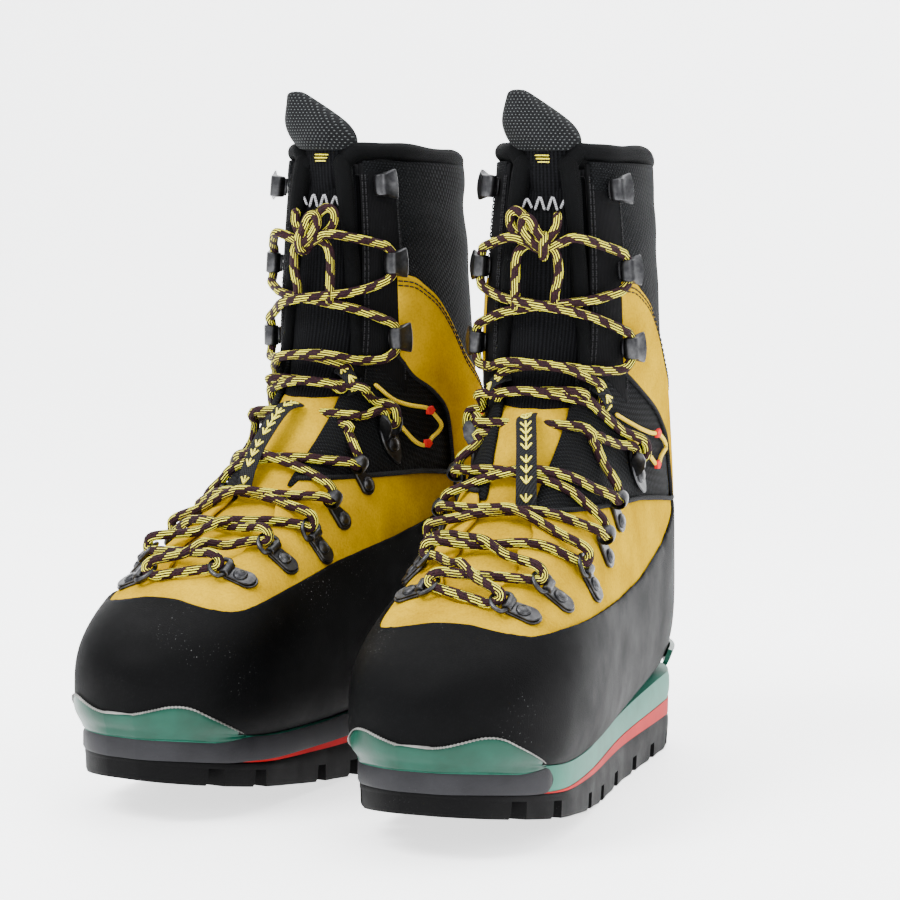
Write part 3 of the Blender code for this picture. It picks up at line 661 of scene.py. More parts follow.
def frame_at(s, x, z, turn=0.0):
    """A local frame on the form: its origin, away from the throat, up the throat, and outwards."""
    u, v = locate(s, x, z)
    return frame_uv(u, v, turn if x > 0.0 else -turn)


def frame_uv(u, v, turn=0.0):
    origin = on_form(u, v)
    normal = Vector(form_normals(u, v)[0])
    up_throat = on_form(u + 0.004, v) - on_form(u - 0.004, v)
    up_throat = (up_throat - normal * up_throat.dot(normal)).normalized()
    away = up_throat.cross(normal)
    if away.x * v < 0.0:
        away.negate()
    if turn:
        twist = Matrix.Rotation(turn, 3, normal)
        away = twist @ away
        up_throat = twist @ up_throat
    return origin, away, up_throat, normal


def at(axes, a, b, n):
    """A point a away from the throat, b up the throat and n outwards."""
    origin, away, up_throat, normal = axes
    return origin + away * a + up_throat * b + normal * n


# Materials.

def add(tree, kind, inputs=None, **settings):
    """One shader node, with its settings and its inputs as values or as other nodes' outputs."""
    node = tree.nodes.new(kind)
    for key, value in settings.items():
        setattr(node, key, value)
    for key, value in (inputs or {}).items():
        if isinstance(value, bpy.types.NodeSocket):
            tree.links.new(value, node.inputs[key])
        else:
            node.inputs[key].default_value = value
    return node


def maths(tree, operation, *values):
    """One math node over values or other nodes' outputs."""
    values = (*values, 0.0)[:max(2, len(values))]
    return add(tree, "ShaderNodeMath", dict(enumerate(values)), operation=operation).outputs[0]


def wave(tree, value, pitch):
    """A sine wave over a length, with a pitch."""
    return maths(tree, "SINE", maths(tree, "MULTIPLY", value, 2.0 * math.pi / pitch))


def noise(tree, scale, detail=3.0):
    inputs = {"Scale": scale, "Detail": detail, "Roughness": 0.55}
    inputs["Vector"] = add(tree, "ShaderNodeTexCoord").outputs["Object"]
    return add(tree, "ShaderNodeTexNoise", inputs).outputs["Fac"]


def ramp(tree, value, *stops):
    """A colour ramp: stops are (position, colour)."""
    node = add(tree, "ShaderNodeValToRGB", {"Fac": value})
    elements = node.color_ramp.elements
    while len(elements) < len(stops):
        elements.new(0.5)
    for element, (position, colour) in zip(elements, stops):
        element.position = position
        element.color = (*colour, 1.0) if hasattr(colour, "__len__") else (colour, colour, colour, 1.0)
    return node.outputs["Color"]


def mix(tree, share, a, b, blend_type="MIX"):
    """Two colours mixed by a share."""
    a, b = ((*value, 1.0) if isinstance(value, tuple) else value for value in (a, b))
    node = add(tree, "ShaderNodeMix", data_type="RGBA", blend_type=blend_type)
    for i, value in ((0, share), (6, a), (7, b)):
        if isinstance(value, bpy.types.NodeSocket):
            tree.links.new(value, node.inputs[i])
        else:
            node.inputs[i].default_value = value
    return node.outputs[2]


def material(name, build, **shader_values):
    """A material: build(tree) returns its colour, the height and distance of its bump, and its roughness."""
    made = bpy.data.materials.new(name)
    made.use_nodes = True
    tree = made.node_tree
    shader = tree.nodes["Principled BSDF"]
    for key, value in shader_values.items():
        shader.inputs[key.replace("_", " ")].default_value = value
    look = build(tree)
    tree.links.new(look["colour"], shader.inputs["Base Color"])
    if "rough" in look:
        tree.links.new(look["rough"], shader.inputs["Roughness"])
    if "height" in look:
        bump = add(tree, "ShaderNodeBump", {"Height": look["height"], "Distance": look["distance"],
                                            "Strength": look.get("strength", 1.0)})
        tree.links.new(bump.outputs["Normal"], shader.inputs["Normal"])
    return made


def uv_parts(tree):
    uv = add(tree, "ShaderNodeTexCoord").outputs["UV"]
    parts = add(tree, "ShaderNodeSeparateXYZ", {"Vector": uv})
    return parts.outputs[0], parts.outputs[1]


def suede(tree):
    nap = noise(tree, 900.0, 4.0)
    patches = noise(tree, 45.0, 3.0)
    broad = ramp(tree, patches, (0.30, (0.34, 0.200, 0.0)), (0.52, (0.43, 0.262, 0.0)),
                 (0.75, (0.53, 0.330, 0.0)))
    fibres = ramp(tree, nap, (0.30, (0.80, 0.78, 0.60)), (0.60, (1.0, 1.0, 1.0)))
    colour = mix(tree, 1.0, broad, fibres, "MULTIPLY")
    return {"colour": colour, "height": nap, "distance": 0.00035, "strength": 0.8}


def dusty(dark, light, speck, scale=1.0):
    """Matt rubber: a dark base with paler smudges, fine grain and specks of dust."""
    def build(tree):
        smudge = noise(tree, 28.0 * scale, 4.0)
        base = ramp(tree, smudge, (0.35, dark), (0.75, light))
        dust = noise(tree, 1300.0 * scale, 1.0)
        spots = ramp(tree, dust, (0.71, (0.0, 0.0, 0.0)), (0.77, (1.0, 1.0, 1.0)))
        where = ramp(tree, noise(tree, 22.0 * scale, 2.0), (0.50, 0.0), (0.66, 1.0))
        colour = mix(tree, mix(tree, 1.0, spots, where, "MULTIPLY"), base, speck)
        grain = noise(tree, 1600.0, 3.0)
        rough = ramp(tree, smudge, (0.3, 0.52), (0.7, 0.72))
        return {"colour": colour, "height": grain, "distance": 0.00018, "strength": 0.55, "rough": rough}
    return build


def moulded(dark, light):
    """Coloured moulded plastic or foam with slight unevenness."""
    def build(tree):
        colour = ramp(tree, noise(tree, 60.0, 3.0), (0.3, dark), (0.7, light))
        return {"colour": colour, "height": noise(tree, 700.0, 3.0), "distance": 0.00012, "strength": 0.35}
    return build


def woven(dark, light, across, along_, depth=0.00045):
    """Knitted mesh: offset rows of small loops, pitched in metres, over the sheet's own texture places."""
    def build(tree):
        x, y = uv_parts(tree)
        rows = maths(tree, "DIVIDE", y, along_)
        run = maths(tree, "DIVIDE", x, across)
        shifted = maths(tree, "ADD", run, maths(tree, "MULTIPLY", maths(tree, "FLOOR", rows), 0.5))
        wave_y = maths(tree, "SINE", maths(tree, "MULTIPLY", maths(tree, "FRACT", rows), math.pi))
        rise = maths(tree, "MULTIPLY_ADD", wave(tree, shifted, 1.0), 0.5, 0.5)
        height = maths(tree, "MULTIPLY", rise, wave_y)
        height = maths(tree, "MULTIPLY_ADD", noise(tree, 1200.0, 2.0), 0.25, height)
        colour = ramp(tree, height, (0.10, dark), (0.95, light))
        return {"colour": colour, "height": height, "distance": depth, "strength": 0.9}
    return build


def ribbed(dark, light, pitch, depth=0.0003):
    """Fine knit ribs that run up the sheet."""
    def build(tree):
        x, y = uv_parts(tree)
        height = maths(tree, "MULTIPLY_ADD", wave(tree, y, pitch * 0.8), 0.12, 0.5)
        height = maths(tree, "MULTIPLY_ADD", wave(tree, x, pitch), 0.35, height)
        height = maths(tree, "MULTIPLY_ADD", noise(tree, 900.0, 3.0), 0.35, height)
        colour = ramp(tree, height, (0.25, dark), (1.0, light))
        return {"colour": colour, "height": height, "distance": depth, "strength": 0.8}
    return build


DOT_PITCH_X = 0.0017
DOT_PITCH_Y = 0.0013


def dotted(tree):
    """Black spacer mesh with pale dots in staggered rows."""
    x, y = uv_parts(tree)
    rows = maths(tree, "DIVIDE", y, DOT_PITCH_Y)
    odd = maths(tree, "MULTIPLY", maths(tree, "FLOOR", rows), 0.5)
    run = maths(tree, "ADD", maths(tree, "DIVIDE", x, DOT_PITCH_X), odd)
    far_x, far_y = (maths(tree, "SUBTRACT", maths(tree, "FRACT", value), 0.5) for value in (run, rows))
    squares = maths(tree, "MULTIPLY_ADD", far_x, far_x, maths(tree, "MULTIPLY", far_y, far_y))
    radius = maths(tree, "SQRT", squares)
    spot = ramp(tree, radius, (0.12, 1.0), (0.22, 0.0))
    fine = noise(tree, 1500.0, 2.0)
    base = ramp(tree, fine, (0.35, (0.0012, 0.0013, 0.0016)), (0.65, (0.0055, 0.0060, 0.0070)))
    return {"colour": mix(tree, spot, base, (0.075, 0.082, 0.082)),
            "height": maths(tree, "MULTIPLY_ADD", radius, -1.0, fine), "distance": 0.0004, "strength": 0.8}


def gunmetal(tree):
    wear = noise(tree, 260.0, 4.0)
    colour = ramp(tree, wear, (0.35, (0.020, 0.020, 0.022)), (0.70, (0.060, 0.060, 0.062)))
    rough = ramp(tree, wear, (0.3, 0.42), (0.7, 0.28))
    return {"colour": colour, "height": noise(tree, 1800.0, 3.0), "distance": 0.00006, "strength": 0.4,
            "rough": rough}


BUNDLES = 4.0
THREADS = 3.0
DASH_PITCH = 0.0122


def braid(tree):
    """Round lace: bundles of three pale threads in staggered dashes on a dark ground, with a relief."""
    length, turn = uv_parts(tree)
    sectors = maths(tree, "MULTIPLY", turn, BUNDLES)
    shift = maths(tree, "MULTIPLY", maths(tree, "FLOOR", sectors), 0.5)
    run = maths(tree, "ADD", maths(tree, "DIVIDE", length, DASH_PITCH), shift)
    lean = maths(tree, "MULTIPLY", maths(tree, "FRACT", sectors), 0.26)
    dash = maths(tree, "LESS_THAN", maths(tree, "FRACT", maths(tree, "ADD", run, lean)), 0.54)
    threads = maths(tree, "MULTIPLY", turn, BUNDLES * THREADS)
    lines = maths(tree, "FRACT", threads)
    pale = maths(tree, "MULTIPLY", dash, maths(tree, "GREATER_THAN", lines, 0.62))
    fibre = noise(tree, 1500.0, 2.0)
    dark = ramp(tree, fibre, (0.35, (0.0050, 0.0010, 0.0018)), (0.70, (0.024, 0.0050, 0.0090)))
    light = ramp(tree, fibre, (0.30, (0.56, 0.50, 0.012)), (0.65, (0.84, 0.80, 0.060)))
    ridge = maths(tree, "SINE", maths(tree, "MULTIPLY", lines, math.pi))
    twist = wave(tree, maths(tree, "ADD", maths(tree, "DIVIDE", length, 0.0020), threads), 1.0)
    height = maths(tree, "MULTIPLY_ADD", twist, 0.15, maths(tree, "MULTIPLY_ADD", fibre, 0.3, ridge))
    return {"colour": mix(tree, pale, dark, light), "height": height, "distance": 0.00035, "strength": 0.8}


def thread(dark, light):
    """Twisted sewing thread."""
    def build(tree):
        length, _ = uv_parts(tree)
        height = maths(tree, "MULTIPLY_ADD", wave(tree, length, 0.0009), 0.35, noise(tree, 1400.0, 2.0))
        colour = ramp(tree, height, (0.15, dark), (0.8, light))
        return {"colour": colour, "height": height, "distance": 0.0002, "strength": 0.8}
    return build


# Each look: how it is built, its roughness and its specular level.
LOOKS = {
    "rand_rubber": (dusty((0.0004, 0.0005, 0.0006), (0.0011, 0.0012, 0.0014), (0.16, 0.16, 0.16)), 0.7, 0.05),
    "outsole": (dusty((0.0006, 0.0006, 0.0007), (0.0016, 0.0016, 0.0018), (0.03, 0.03, 0.03), 1.6),
                0.7, 0.06),
    "toe_band": (dusty((0.010, 0.010, 0.0115), (0.019, 0.019, 0.0215), (0.06, 0.06, 0.065), 2.0), 0.7, 0.12),
    "midsole": (moulded((0.008, 0.088, 0.056), (0.016, 0.130, 0.089)), 0.5, 0.15),
    "wedge": (moulded((0.26, 0.0, 0.0010), (0.36, 0.0005, 0.0030)), 0.6, 0.08),
    "welt": (moulded((0.0, 0.024, 0.013), (0.0008, 0.046, 0.028)), 0.36, 0.15),
    "glue": (dusty((0.05, 0.05, 0.045), (0.24, 0.24, 0.225), (0.5, 0.5, 0.48), 3.0), 0.7, 0.5),
    "suede": (suede, 1.0, 0.0),
    "mesh": (woven((0.0005, 0.0006, 0.0008), (0.0055, 0.0062, 0.0072), 0.0017, 0.00125), 0.85, 0.08),
    "ankle_mesh": (woven((0.0005, 0.0006, 0.0007), (0.0085, 0.0090, 0.0100), 0.0021, 0.0010), 0.85, 0.08),
    "knit": (ribbed((0.0005, 0.0005, 0.0007), (0.0040, 0.0042, 0.0050), 0.0016), 0.9, 0.06),
    "placket": (ribbed((0.0006, 0.0006, 0.0008), (0.0034, 0.0035, 0.0040), 0.0007, 0.00015), 0.8, 0.07),
    "dotted_mesh": (dotted, 0.88, 0.15),
    "lining": (ribbed((0.0014, 0.0014, 0.0017), (0.010, 0.010, 0.011), 0.0024), 0.95, 0.12),
    "gunmetal": (gunmetal, 0.35, 0.5),
    "lace": (braid, 0.78, 0.15),
    "cord": (thread((0.42, 0.26, 0.006), (0.85, 0.60, 0.03)), 0.8, 0.15),
    "red_tab": (thread((0.42, 0.006, 0.006), (0.72, 0.018, 0.014)), 0.8, 0.15),
    "stitch": (thread((0.003, 0.003, 0.003), (0.020, 0.020, 0.022)), 0.8, 0.15),
    "chevron": (thread((0.50, 0.42, 0.02), (0.90, 0.80, 0.08)), 0.8, 0.15),
    "webbing": (ribbed((0.0014, 0.0014, 0.0016), (0.011, 0.0115, 0.013), 0.0011), 0.88, 0.15),
    "grey_thread": (thread((0.12, 0.12, 0.13), (0.42, 0.42, 0.44)), 0.8, 0.5),
    "footbed": (ribbed((0.004, 0.004, 0.005), (0.016, 0.016, 0.018), 0.0022), 0.95, 0.5),
}
# What a few looks have beyond that.
EXTRAS = {"gunmetal": {"Metallic": 0.95}, "welt": {"Coat_Weight": 0.08, "Coat_Roughness": 0.25}}
LOOKS = {name: material(f"{name}_look", build, Roughness=rough, Specular_IOR_Level=level,
                        **EXTRAS.get(name, {}))
         for name, (build, rough, level) in LOOKS.items()}


# Seams of the upper: each field is above zero on the side that is kept.

def above_feather(x, s, z, u, v):
    return z - sole_top(s) - 0.0008


def below_rand_top(x, s, z, u, v):
    sides = np.where(x > 0.0, along(RAND_OUTER, s), along(RAND_INNER, s))
    toe = np.interp(np.abs(x), *zip(*RAND_TOE))
    return np.where(np.abs(x) > RAND_TOE[-1][0], sides, toe) - z


def foot_top(x, s):
    return along(FOOT_TOP, s) + INNER_RISE * step(0.010, -0.010, x)


def below_foot_top(x, s, z, u, v):
    return foot_top(x, s) - z


def outside_throat(x, s, z, u, v):
    scallop = SCALLOP * np.cos(2.0 * math.pi * (s - SCALLOP_S) / RING_PITCH) * step(0.245, 0.232, s)
    return np.where(np.cos(v) > 0.0, np.abs(x) - along(THROAT, s, 0.0015) - scallop, 1.0)


def ankle_top(x, s):
    outer = along(ANKLE_TOP_OUTER, s)
    inner = along(ANKLE_TOP_INNER, s)
    return np.where(x > 0.0, outer, inner)


def below_ankle_top(x, s, z, u, v):
    return ankle_top(x, s) - z


def above_ankle_bottom(x, s, z, u, v):
    return z - foot_top(x, s) + 0.0020


def beside_tongue(x, s, z, u, v):
    return np.where(np.cos(v) > 0.0, np.abs(x) - along(FLAP_HALF, s), 1.0)


def below_dome(x, s, z, u, v):
    return along(DOME_TOP, s) - z


def above_quarter_bottom(x, s, z, u, v):
    return np.where(np.where(x > 0.0, s > 0.040, s > 0.074), z - ankle_top(x, s), z - 0.112)


def offset(field, distance):
    """The same seam, moved inwards by a distance."""
    return lambda x, s, z, u, v: field(x, s, z, u, v) - distance


def higher(z0):
    return lambda x, s, z, u, v: z - z0


def lower(z0):
    return lambda x, s, z, u, v: z0 - z


TURN = np.linspace(0.0, 2.0 * math.pi, 141)
ROWS = np.concatenate([[0.0, 0.0001, 0.0004], (np.linspace(0.0, 1.0, 115) ** 1.45)[1:]])
QUARTER_TURN = np.linspace(0.90, 2.0 * math.pi - 0.90, 120)
QUARTER_ROWS = np.linspace(0.44, 0.92, 80)


# Pieces.

def rim_relief(height, reach, base):
    """A depth that bulges by height from its base, away from the piece's own edges."""
    def depth(points, u, v, pattern):
        edge = np.array([vertex.is_boundary and vertex.co.x > 1e-6
                         and not min(abs(vertex.co.y), abs(vertex.co.y - 2.0 * math.pi)) < 1e-6
                         for vertex in pattern.verts])
        rim = points[edge]
        far = np.array([np.min(np.linalg.norm(rim - point, axis=1)) for point in points])
        return base + height * (1.0 - np.exp(-far / reach))
    return depth


def build_upper():
    rand = sheet(ROWS, TURN, 0.0006, -0.0014, above_feather, below_rand_top)
    place("rand", rand, LOOKS["rand_rubber"], "foot", "rand_rubber", ["rand"])
    vamp = sheet(ROWS, TURN, rim_relief(0.0003, 0.0015, -0.0012), -0.0030, higher(0.050), below_foot_top,
                 outside_throat)
    place("vamp", vamp, LOOKS["suede"], "foot", "suede_yellow", ["vamp"])
    quarter = sheet(QUARTER_ROWS, QUARTER_TURN, rim_relief(0.0007, 0.003, -0.0002), -0.0016,
                    above_quarter_bottom, below_dome)
    place("quarter", quarter, LOOKS["suede"], "bend", "suede_yellow", ["cuff_panel"])
    ankle = sheet(ROWS[42:], TURN, rim_relief(0.0012, 0.004, -0.0022), -0.0040, above_ankle_bottom,
                  offset(below_ankle_top, -0.004), beside_tongue, lower(0.200))
    place("ankle", ankle, LOOKS["ankle_mesh"], "bend", "mesh_black", ["ankle_panel"])


def collar_depth(points, u, v, pattern):
    """Padding of the cuff: full under the collar, with slack folds across it."""
    full = 0.0010 * step(0.19, 0.24, points[:, 2]) + 0.0012 * step(0.250, 0.262, points[:, 2])
    fold = 0.0007 * np.sin(points[:, 2] * 190.0 + 1.5 * np.sin(v * 2.0)) * step(0.20, 0.24, points[:, 2])
    return -0.0022 + full + fold * 0.6


# The cuff's sheets lie between these heights, and its lace stays between the next two.
CUFF_LOW, CUFF_HIGH = 0.121, 0.2700
STAY_LOW, STAY_HIGH = 0.1660, 0.2690


def build_cuff():
    cuff_turn = np.linspace(0.56, 2.0 * math.pi - 0.56, 130)
    rows = np.linspace(0.52, 1.0, 80)
    cuff = sheet(rows, cuff_turn, collar_depth, -0.0045, higher(CUFF_LOW), lower(CUFF_HIGH),
                 offset(lambda x, s, z, u, v: z - ankle_top(x, s) * (s > 0.05), -0.012))
    place("cuff", cuff, LOOKS["mesh"], "bend", "mesh_black", ["cuff_shell"])
    lining = sheet(np.linspace(0.46, 1.0, 60), np.linspace(0.60, 2.0 * math.pi - 0.60, 90), -0.0050, -0.0070,
                   higher(CUFF_LOW), lower(CUFF_HIGH))
    place("cuff_lining", lining, LOOKS["lining"], "bend", "lining_black", ["cuff_lining"])
    place("collar", collar_roll(), LOOKS["mesh"], "cuff", "mesh_black")
    for name, flank in FLANKS.items():
        place(f"front_roll_{name}", front_roll(flank), LOOKS["mesh"], "cuff", "mesh_black")
        turns = np.linspace(0.52, 1.00, 22) * flank
        placket = sheet(np.linspace(0.62, 0.995, 60), turns if flank > 0.0 else turns[::-1],
                        rim_relief(0.0007, 0.002, -0.0010), -0.0026, higher(STAY_LOW), lower(STAY_HIGH))
        place(f"placket_{name}", placket, LOOKS["placket"], "cuff", "stay_black", [f"lace_stay_{name}"])


COLLAR_TURN = 0.27


def collar_roll():
    """The padded roll round the cuff's top, whose two front ends turn in and down beside the tongue."""
    path = []
    radii = []
    for v in np.linspace(COLLAR_TURN, 2.0 * math.pi - COLLAR_TURN, 130):
        turn = min(v, 2.0 * math.pi - v)
        droop = 0.0060 * (1.0 - float(step(COLLAR_TURN, COLLAR_TURN + 0.22, turn)))
        dip = 0.0030 * float(step(1.2, 2.6, turn))
        rise = 0.0022 + 0.0005 * math.sin(5.0 * v) - droop - dip
        path.append(on_form(0.999, v, -0.0032) + Vector((0.0, 0.0, rise)))
        radii.append(0.0040 + 0.0003 * math.sin(9.0 * v))
    return rounded_tube(path, radii, 16, 0.5, 0.82)


def front_roll(flank):
    """The padded front edge of the cuff, from the collar down beside the tongue."""
    path = []
    radii = []
    for share in np.linspace(0.0, 1.0, 40):
        z = STAY_HIGH - 0.0930 * share
        u, v = locate_turn(z, flank * (0.30 + 0.22 * share))
        path.append(on_form(u, v, -0.0022 + 0.0008 * math.sin(7.0 * share)))
        radii.append(0.0040 - 0.0012 * share + 0.0003 * math.sin(14.0 * share))
    return rounded_tube(path, radii, 16, 0.5, 0.82)


def locate_turn(z, v):
    """The (u, v) at a height and a turn round the cuff."""
    us = np.linspace(0.3, 1.0, 300)
    return float(np.interp(z, form_points(us, np.full(300, v))[:, 2], us)), v


def build_tongue():
    lower_tongue = sheet(np.linspace(0.08, 0.46, 60), np.linspace(-0.62, 0.62, 40),
                         rim_relief(0.0012, 0.005, -0.0052), -0.0078, lower(0.1690))
    place("tongue_low", lower_tongue, LOOKS["suede"], "foot", "suede_yellow")
    upper = sheet(np.linspace(0.36, 0.975, 90), np.linspace(-0.58, 0.58, 40),
                  rim_relief(0.0022, 0.008, -0.0056), -0.0085, higher(0.1640), lower(0.2640))
    place("tongue_high", upper, LOOKS["knit"], "bend", "mesh_black", ["tongue"])
    leaves = {side: cushion(LEAF, -sign) for side, sign in SIDES.items()}
    place("tongue_leaf", leaves, LOOKS["dotted_mesh"], "tongue_tip", "mesh_black", ["tongue_tip"])
    place("tongue_neck", cushion(NECK, 0.0), LOOKS["knit"], "fold", "mesh_black")


# The tongue above its crease: each row is s, z, half width and thickness.
NECK = ((0.1284, 0.2540, 0.0118, 0.0040), (0.1298, 0.2600, 0.0122, 0.0042), (0.1312, 0.2680, 0.0126, 0.0044),
        (0.1330, 0.2790, 0.0120, 0.0040))
LEAF = ((0.1334, 0.2745, 0.0140, 0.0050), (0.1340, 0.2790, 0.0163, 0.0074), (0.1352, 0.2850, 0.0160, 0.0072),
        (0.1368, 0.2910, 0.0120, 0.0056), (0.1384, 0.2990, 0.0046, 0.0030))


def cushion(line, lean):
    """A crowned padded part of the tongue, closed at both ends, whose tip leans to one side."""
    rows = spline(line, np.linspace(0.0, 1.0, 22))
    sections = []
    for s, z, half, thick in rows:
        shift = lean * 0.0120 * max(0.0, (z - 0.2720) / 0.0280) ** 1.3
        ring = []
        for t in np.linspace(0.0, 2.0 * math.pi, 36, endpoint=False):
            a = math.cos(t)
            bow = -0.0060 * (half / 0.0160) * a * a
            out = thick * signed_power(math.sin(t), 0.85) * (1.0 + 0.10 * math.sin(5.0 * a + 300.0 * z))
            ring.append((half * signed_power(a, 0.8) + shift, s + bow + out, z))
        sections.append(ring)
    capped = []
    for end, down in ((sections[0], -0.0011), (sections[-1], 0.0011)):
        middle = np.mean(end, axis=0)
        capped.append([tuple(middle + (np.array(point) - middle) * 0.5 + (0.0, 0.0, down)) for point in end])
    shape = loft([capped[0], *sections, capped[1]])
    shape.places = [[(shape.points[i][0], shape.points[i][2]) for i in face] for face in shape.faces]
    return subdivided(shape)


def side_wall(low, high, inset_low=0.0, inset_high=0.0, bulge=0.0, count=150, layers=4):
    """A closed slab of the sole between two heights, with a slightly rounded wall."""
    turn = np.linspace(0.0, math.pi, count)
    places = 0.0006 + (SOLE_LENGTH - 0.0012) * (1.0 - np.cos(turn)) / 2.0
    inner, outer = sole_sides(places)
    outline = np.concatenate([np.column_stack([outer, places]), np.column_stack([inner, places])[::-1]])
    centre = np.column_stack([outline[:, 0] * 0.0, np.clip(outline[:, 1], 0.035, SOLE_LENGTH - 0.05)])
    direction = outline - centre
    direction /= np.maximum(np.linalg.norm(direction, axis=1, keepdims=True), 1e-9)
    sections = []
    for k in range(layers + 1):
        share = k / layers
        out = bulge * math.sin(math.pi * share) - inset_low * (share == 0.0) - inset_high * (share == 1.0)
        ring = outline + direction * out
        z = [low(s) * (1.0 - share) + high(s) * share for s in outline[:, 1]]
        sections.append([(x, s, h) for (x, s), h in zip(ring, z)])
    return loft(sections)


def build_sole():
    wedge = side_wall(lambda s: outsole_top(s) + 0.0001, lambda s: wedge_top(s) + 0.0002)
    place("wedge", wedge, LOOKS["wedge"], "foot", "wedge_red", ["midsole_wedge"])
    midsole = side_wall(lambda s: wedge_top(s) + 0.0003, lambda s: sole_top(s) + 0.0002,
                        0.0003, 0.0004, 0.0004)
    place("midsole", midsole, LOOKS["midsole"], "foot", "midsole_green", ["midsole"])
    place("outsole", outsole_shape(), LOOKS["outsole"], "foot", "outsole_rubber", ["outsole"], sharp=30.0)


LUG_DEPTH = 0.0072


def outsole_shape():
    """The outsole's plate, and under it a rim of side lugs and two rows of middle lugs."""
    shape = side_wall(lambda s: sole_bottom(s) + LUG_DEPTH, outsole_top, 0.0, 0.0004, 0.0002)
    for part in lugs():
        shape.merge(part)
    return shape


LUG_HEIGHT = LUG_DEPTH + 0.0006
LUG_TAPER = 0.0008


def lug(outline):
    """A lug: its outline at the top, drawn in a little at the bottom, with a bevelled lower edge."""
    outline = np.array(outline)
    return loft([[(x, s, sole_bottom(s) + LUG_HEIGHT * share) for x, s in drawn_in(outline, inset)]
                 for share, inset in ((0.0, LUG_TAPER * 1.6), (0.18, LUG_TAPER * 0.5), (1.0, 0.0))])


LUG_GAPS = (0.030, 0.060, 0.092, 0.128, 0.160, 0.190, 0.241, 0.265)
LUG_GAP_HALF = 0.0034


def lugs():
    """Side lugs between gaps, the toe's and the heel's lugs joined into arcs, and middle lugs."""
    made = []

    def edge(flank, s):
        inner, outer = sole_sides(s)
        return outer if flank > 0.0 else inner

    for flank in (1.0, -1.0):
        for i, (first, last) in enumerate(zip(LUG_GAPS, LUG_GAPS[1:])):
            start, end = first + LUG_GAP_HALF, last - LUG_GAP_HALF
            depth = 0.0150 + 0.0030 * (i % 2)
            places = np.linspace(start, end, 5)
            outline = [(float(edge(flank, s)[0]), s) for s in places]
            outline += [(float(edge(flank, s)[0]) - flank * depth, s + 0.0015) for s in places[::-1]]
            made.append(lug(outline))
            centre = flank * 0.0085
            wide = 0.0058
            slant = 0.0030 * flank
            block = [(centre - wide, start + 0.003 + slant), (centre + wide, start + 0.003 - slant),
                     (centre + wide, end - 0.0015 - slant), (centre - wide, end - 0.0015 + slant)]
            made.append(lug(block))
    turn = np.sin(np.linspace(0.0, math.pi / 2.0, 14))
    toe_start, heel_end = LUG_GAPS[-1] + LUG_GAP_HALF, LUG_GAPS[0] - LUG_GAP_HALF
    for first, last in ((toe_start, SOLE_LENGTH - 0.0008), (heel_end, 0.0008)):
        places = first + (last - first) * turn
        outline = [(float(edge(1.0, s)[0]), s) for s in places]
        outline += [(float(edge(-1.0, s)[0]), s) for s in places[::-1]]
        made.append(lug(outline))
    return made


# Bands round the toe: the grey cover of the midsole and the green welt above it.

def sole_outline(first, last, count):
    """Places along the sole's edge, from the outer side round the toe to the inner, and directions out."""
    span = SOLE_LENGTH - 0.0006 - first
    turn = np.linspace(0.0, math.pi / 2.0, count)
    s_out = first + span * np.sin(turn)
    s_in = last + (SOLE_LENGTH - 0.0006 - last) * np.sin(turn)
    outer = [(float(sole_sides(s)[1][0]), s) for s in s_out]
    inner = [(float(sole_sides(s)[0][0]), s) for s in s_in[::-1]]
    line = np.array(outer + inner[1:])
    tangent = np.gradient(line, axis=0)
    tangent /= np.linalg.norm(tangent, axis=1, keepdims=True)
    normal = np.stack([tangent[:, 1], -tangent[:, 0]], axis=1)
    return line, normal


def band_top(s):
    """Upper edge of the toe's band, where the green welt sits: a little under the feather line at the toe."""
    return sole_top(s) - 0.0032 * step(0.243, 0.268, s)


def toe_band():
    """Grey cover over the midsole's front, from the ball on the outer side to the heel on the inner side."""
    line, normal = sole_outline(0.247, 0.030, 90)
    sections = []
    travelled = np.concatenate([[0.0], np.cumsum(np.linalg.norm(np.diff(line, axis=0), axis=1))])
    for (x, s), (nx, ns), length in zip(line, normal, travelled):
        ends = min(length, travelled[-1] - length)
        open_ = math.sqrt(max(0.0, 1.0 - max(0.0, 1.0 - ends / 0.0045) ** 2))
        low = wedge_top(s) + 0.0003 - (wedge_top(s) - outsole_top(s) + 0.0006) * step(0.246, 0.262, s)
        high = band_top(s) + 0.0001
        middle = (low + high) / 2.0
        half = (high - low) / 2.0 * max(open_, 0.05)
        ring = []
        for share, out in ((-1.0, -8.0), (-1.0, 4.0), (-0.7, 10.0), (0.7, 10.0), (1.0, 4.0), (1.0, -8.0)):
            out *= 1e-4
            ring.append((x + nx * out, s + ns * out, middle + half * share))
        sections.append(ring)
    return loft(sections)


TOE_CENTRE = np.array((-0.0015, 0.215))
WELT_HEIGHT = ((0.00, 0.0098), (0.15, 0.0105), (0.42, 0.0152), (0.55, 0.0150), (0.75, 0.0098), (0.93, 0.0035),
               (1.00, 0.0010))
# The welt's section: share of its height, how far it stands out, and how far it follows the rand's skin.
WELT_SECTION = ((0.0, -0.0050, 0.0), (0.0, 0.0004, 0.0), (0.06, 0.0012, 0.0), (0.22, 0.0014, 0.05),
                (0.32, 0.0008, 0.3), (0.42, 0.0008, 0.8), (0.56, 0.0015, 1.0), (0.78, 0.0015, 1.0),
                (0.93, 0.0012, 1.0), (1.0, 0.0006, 1.0), (1.0, -0.0040, 1.0))


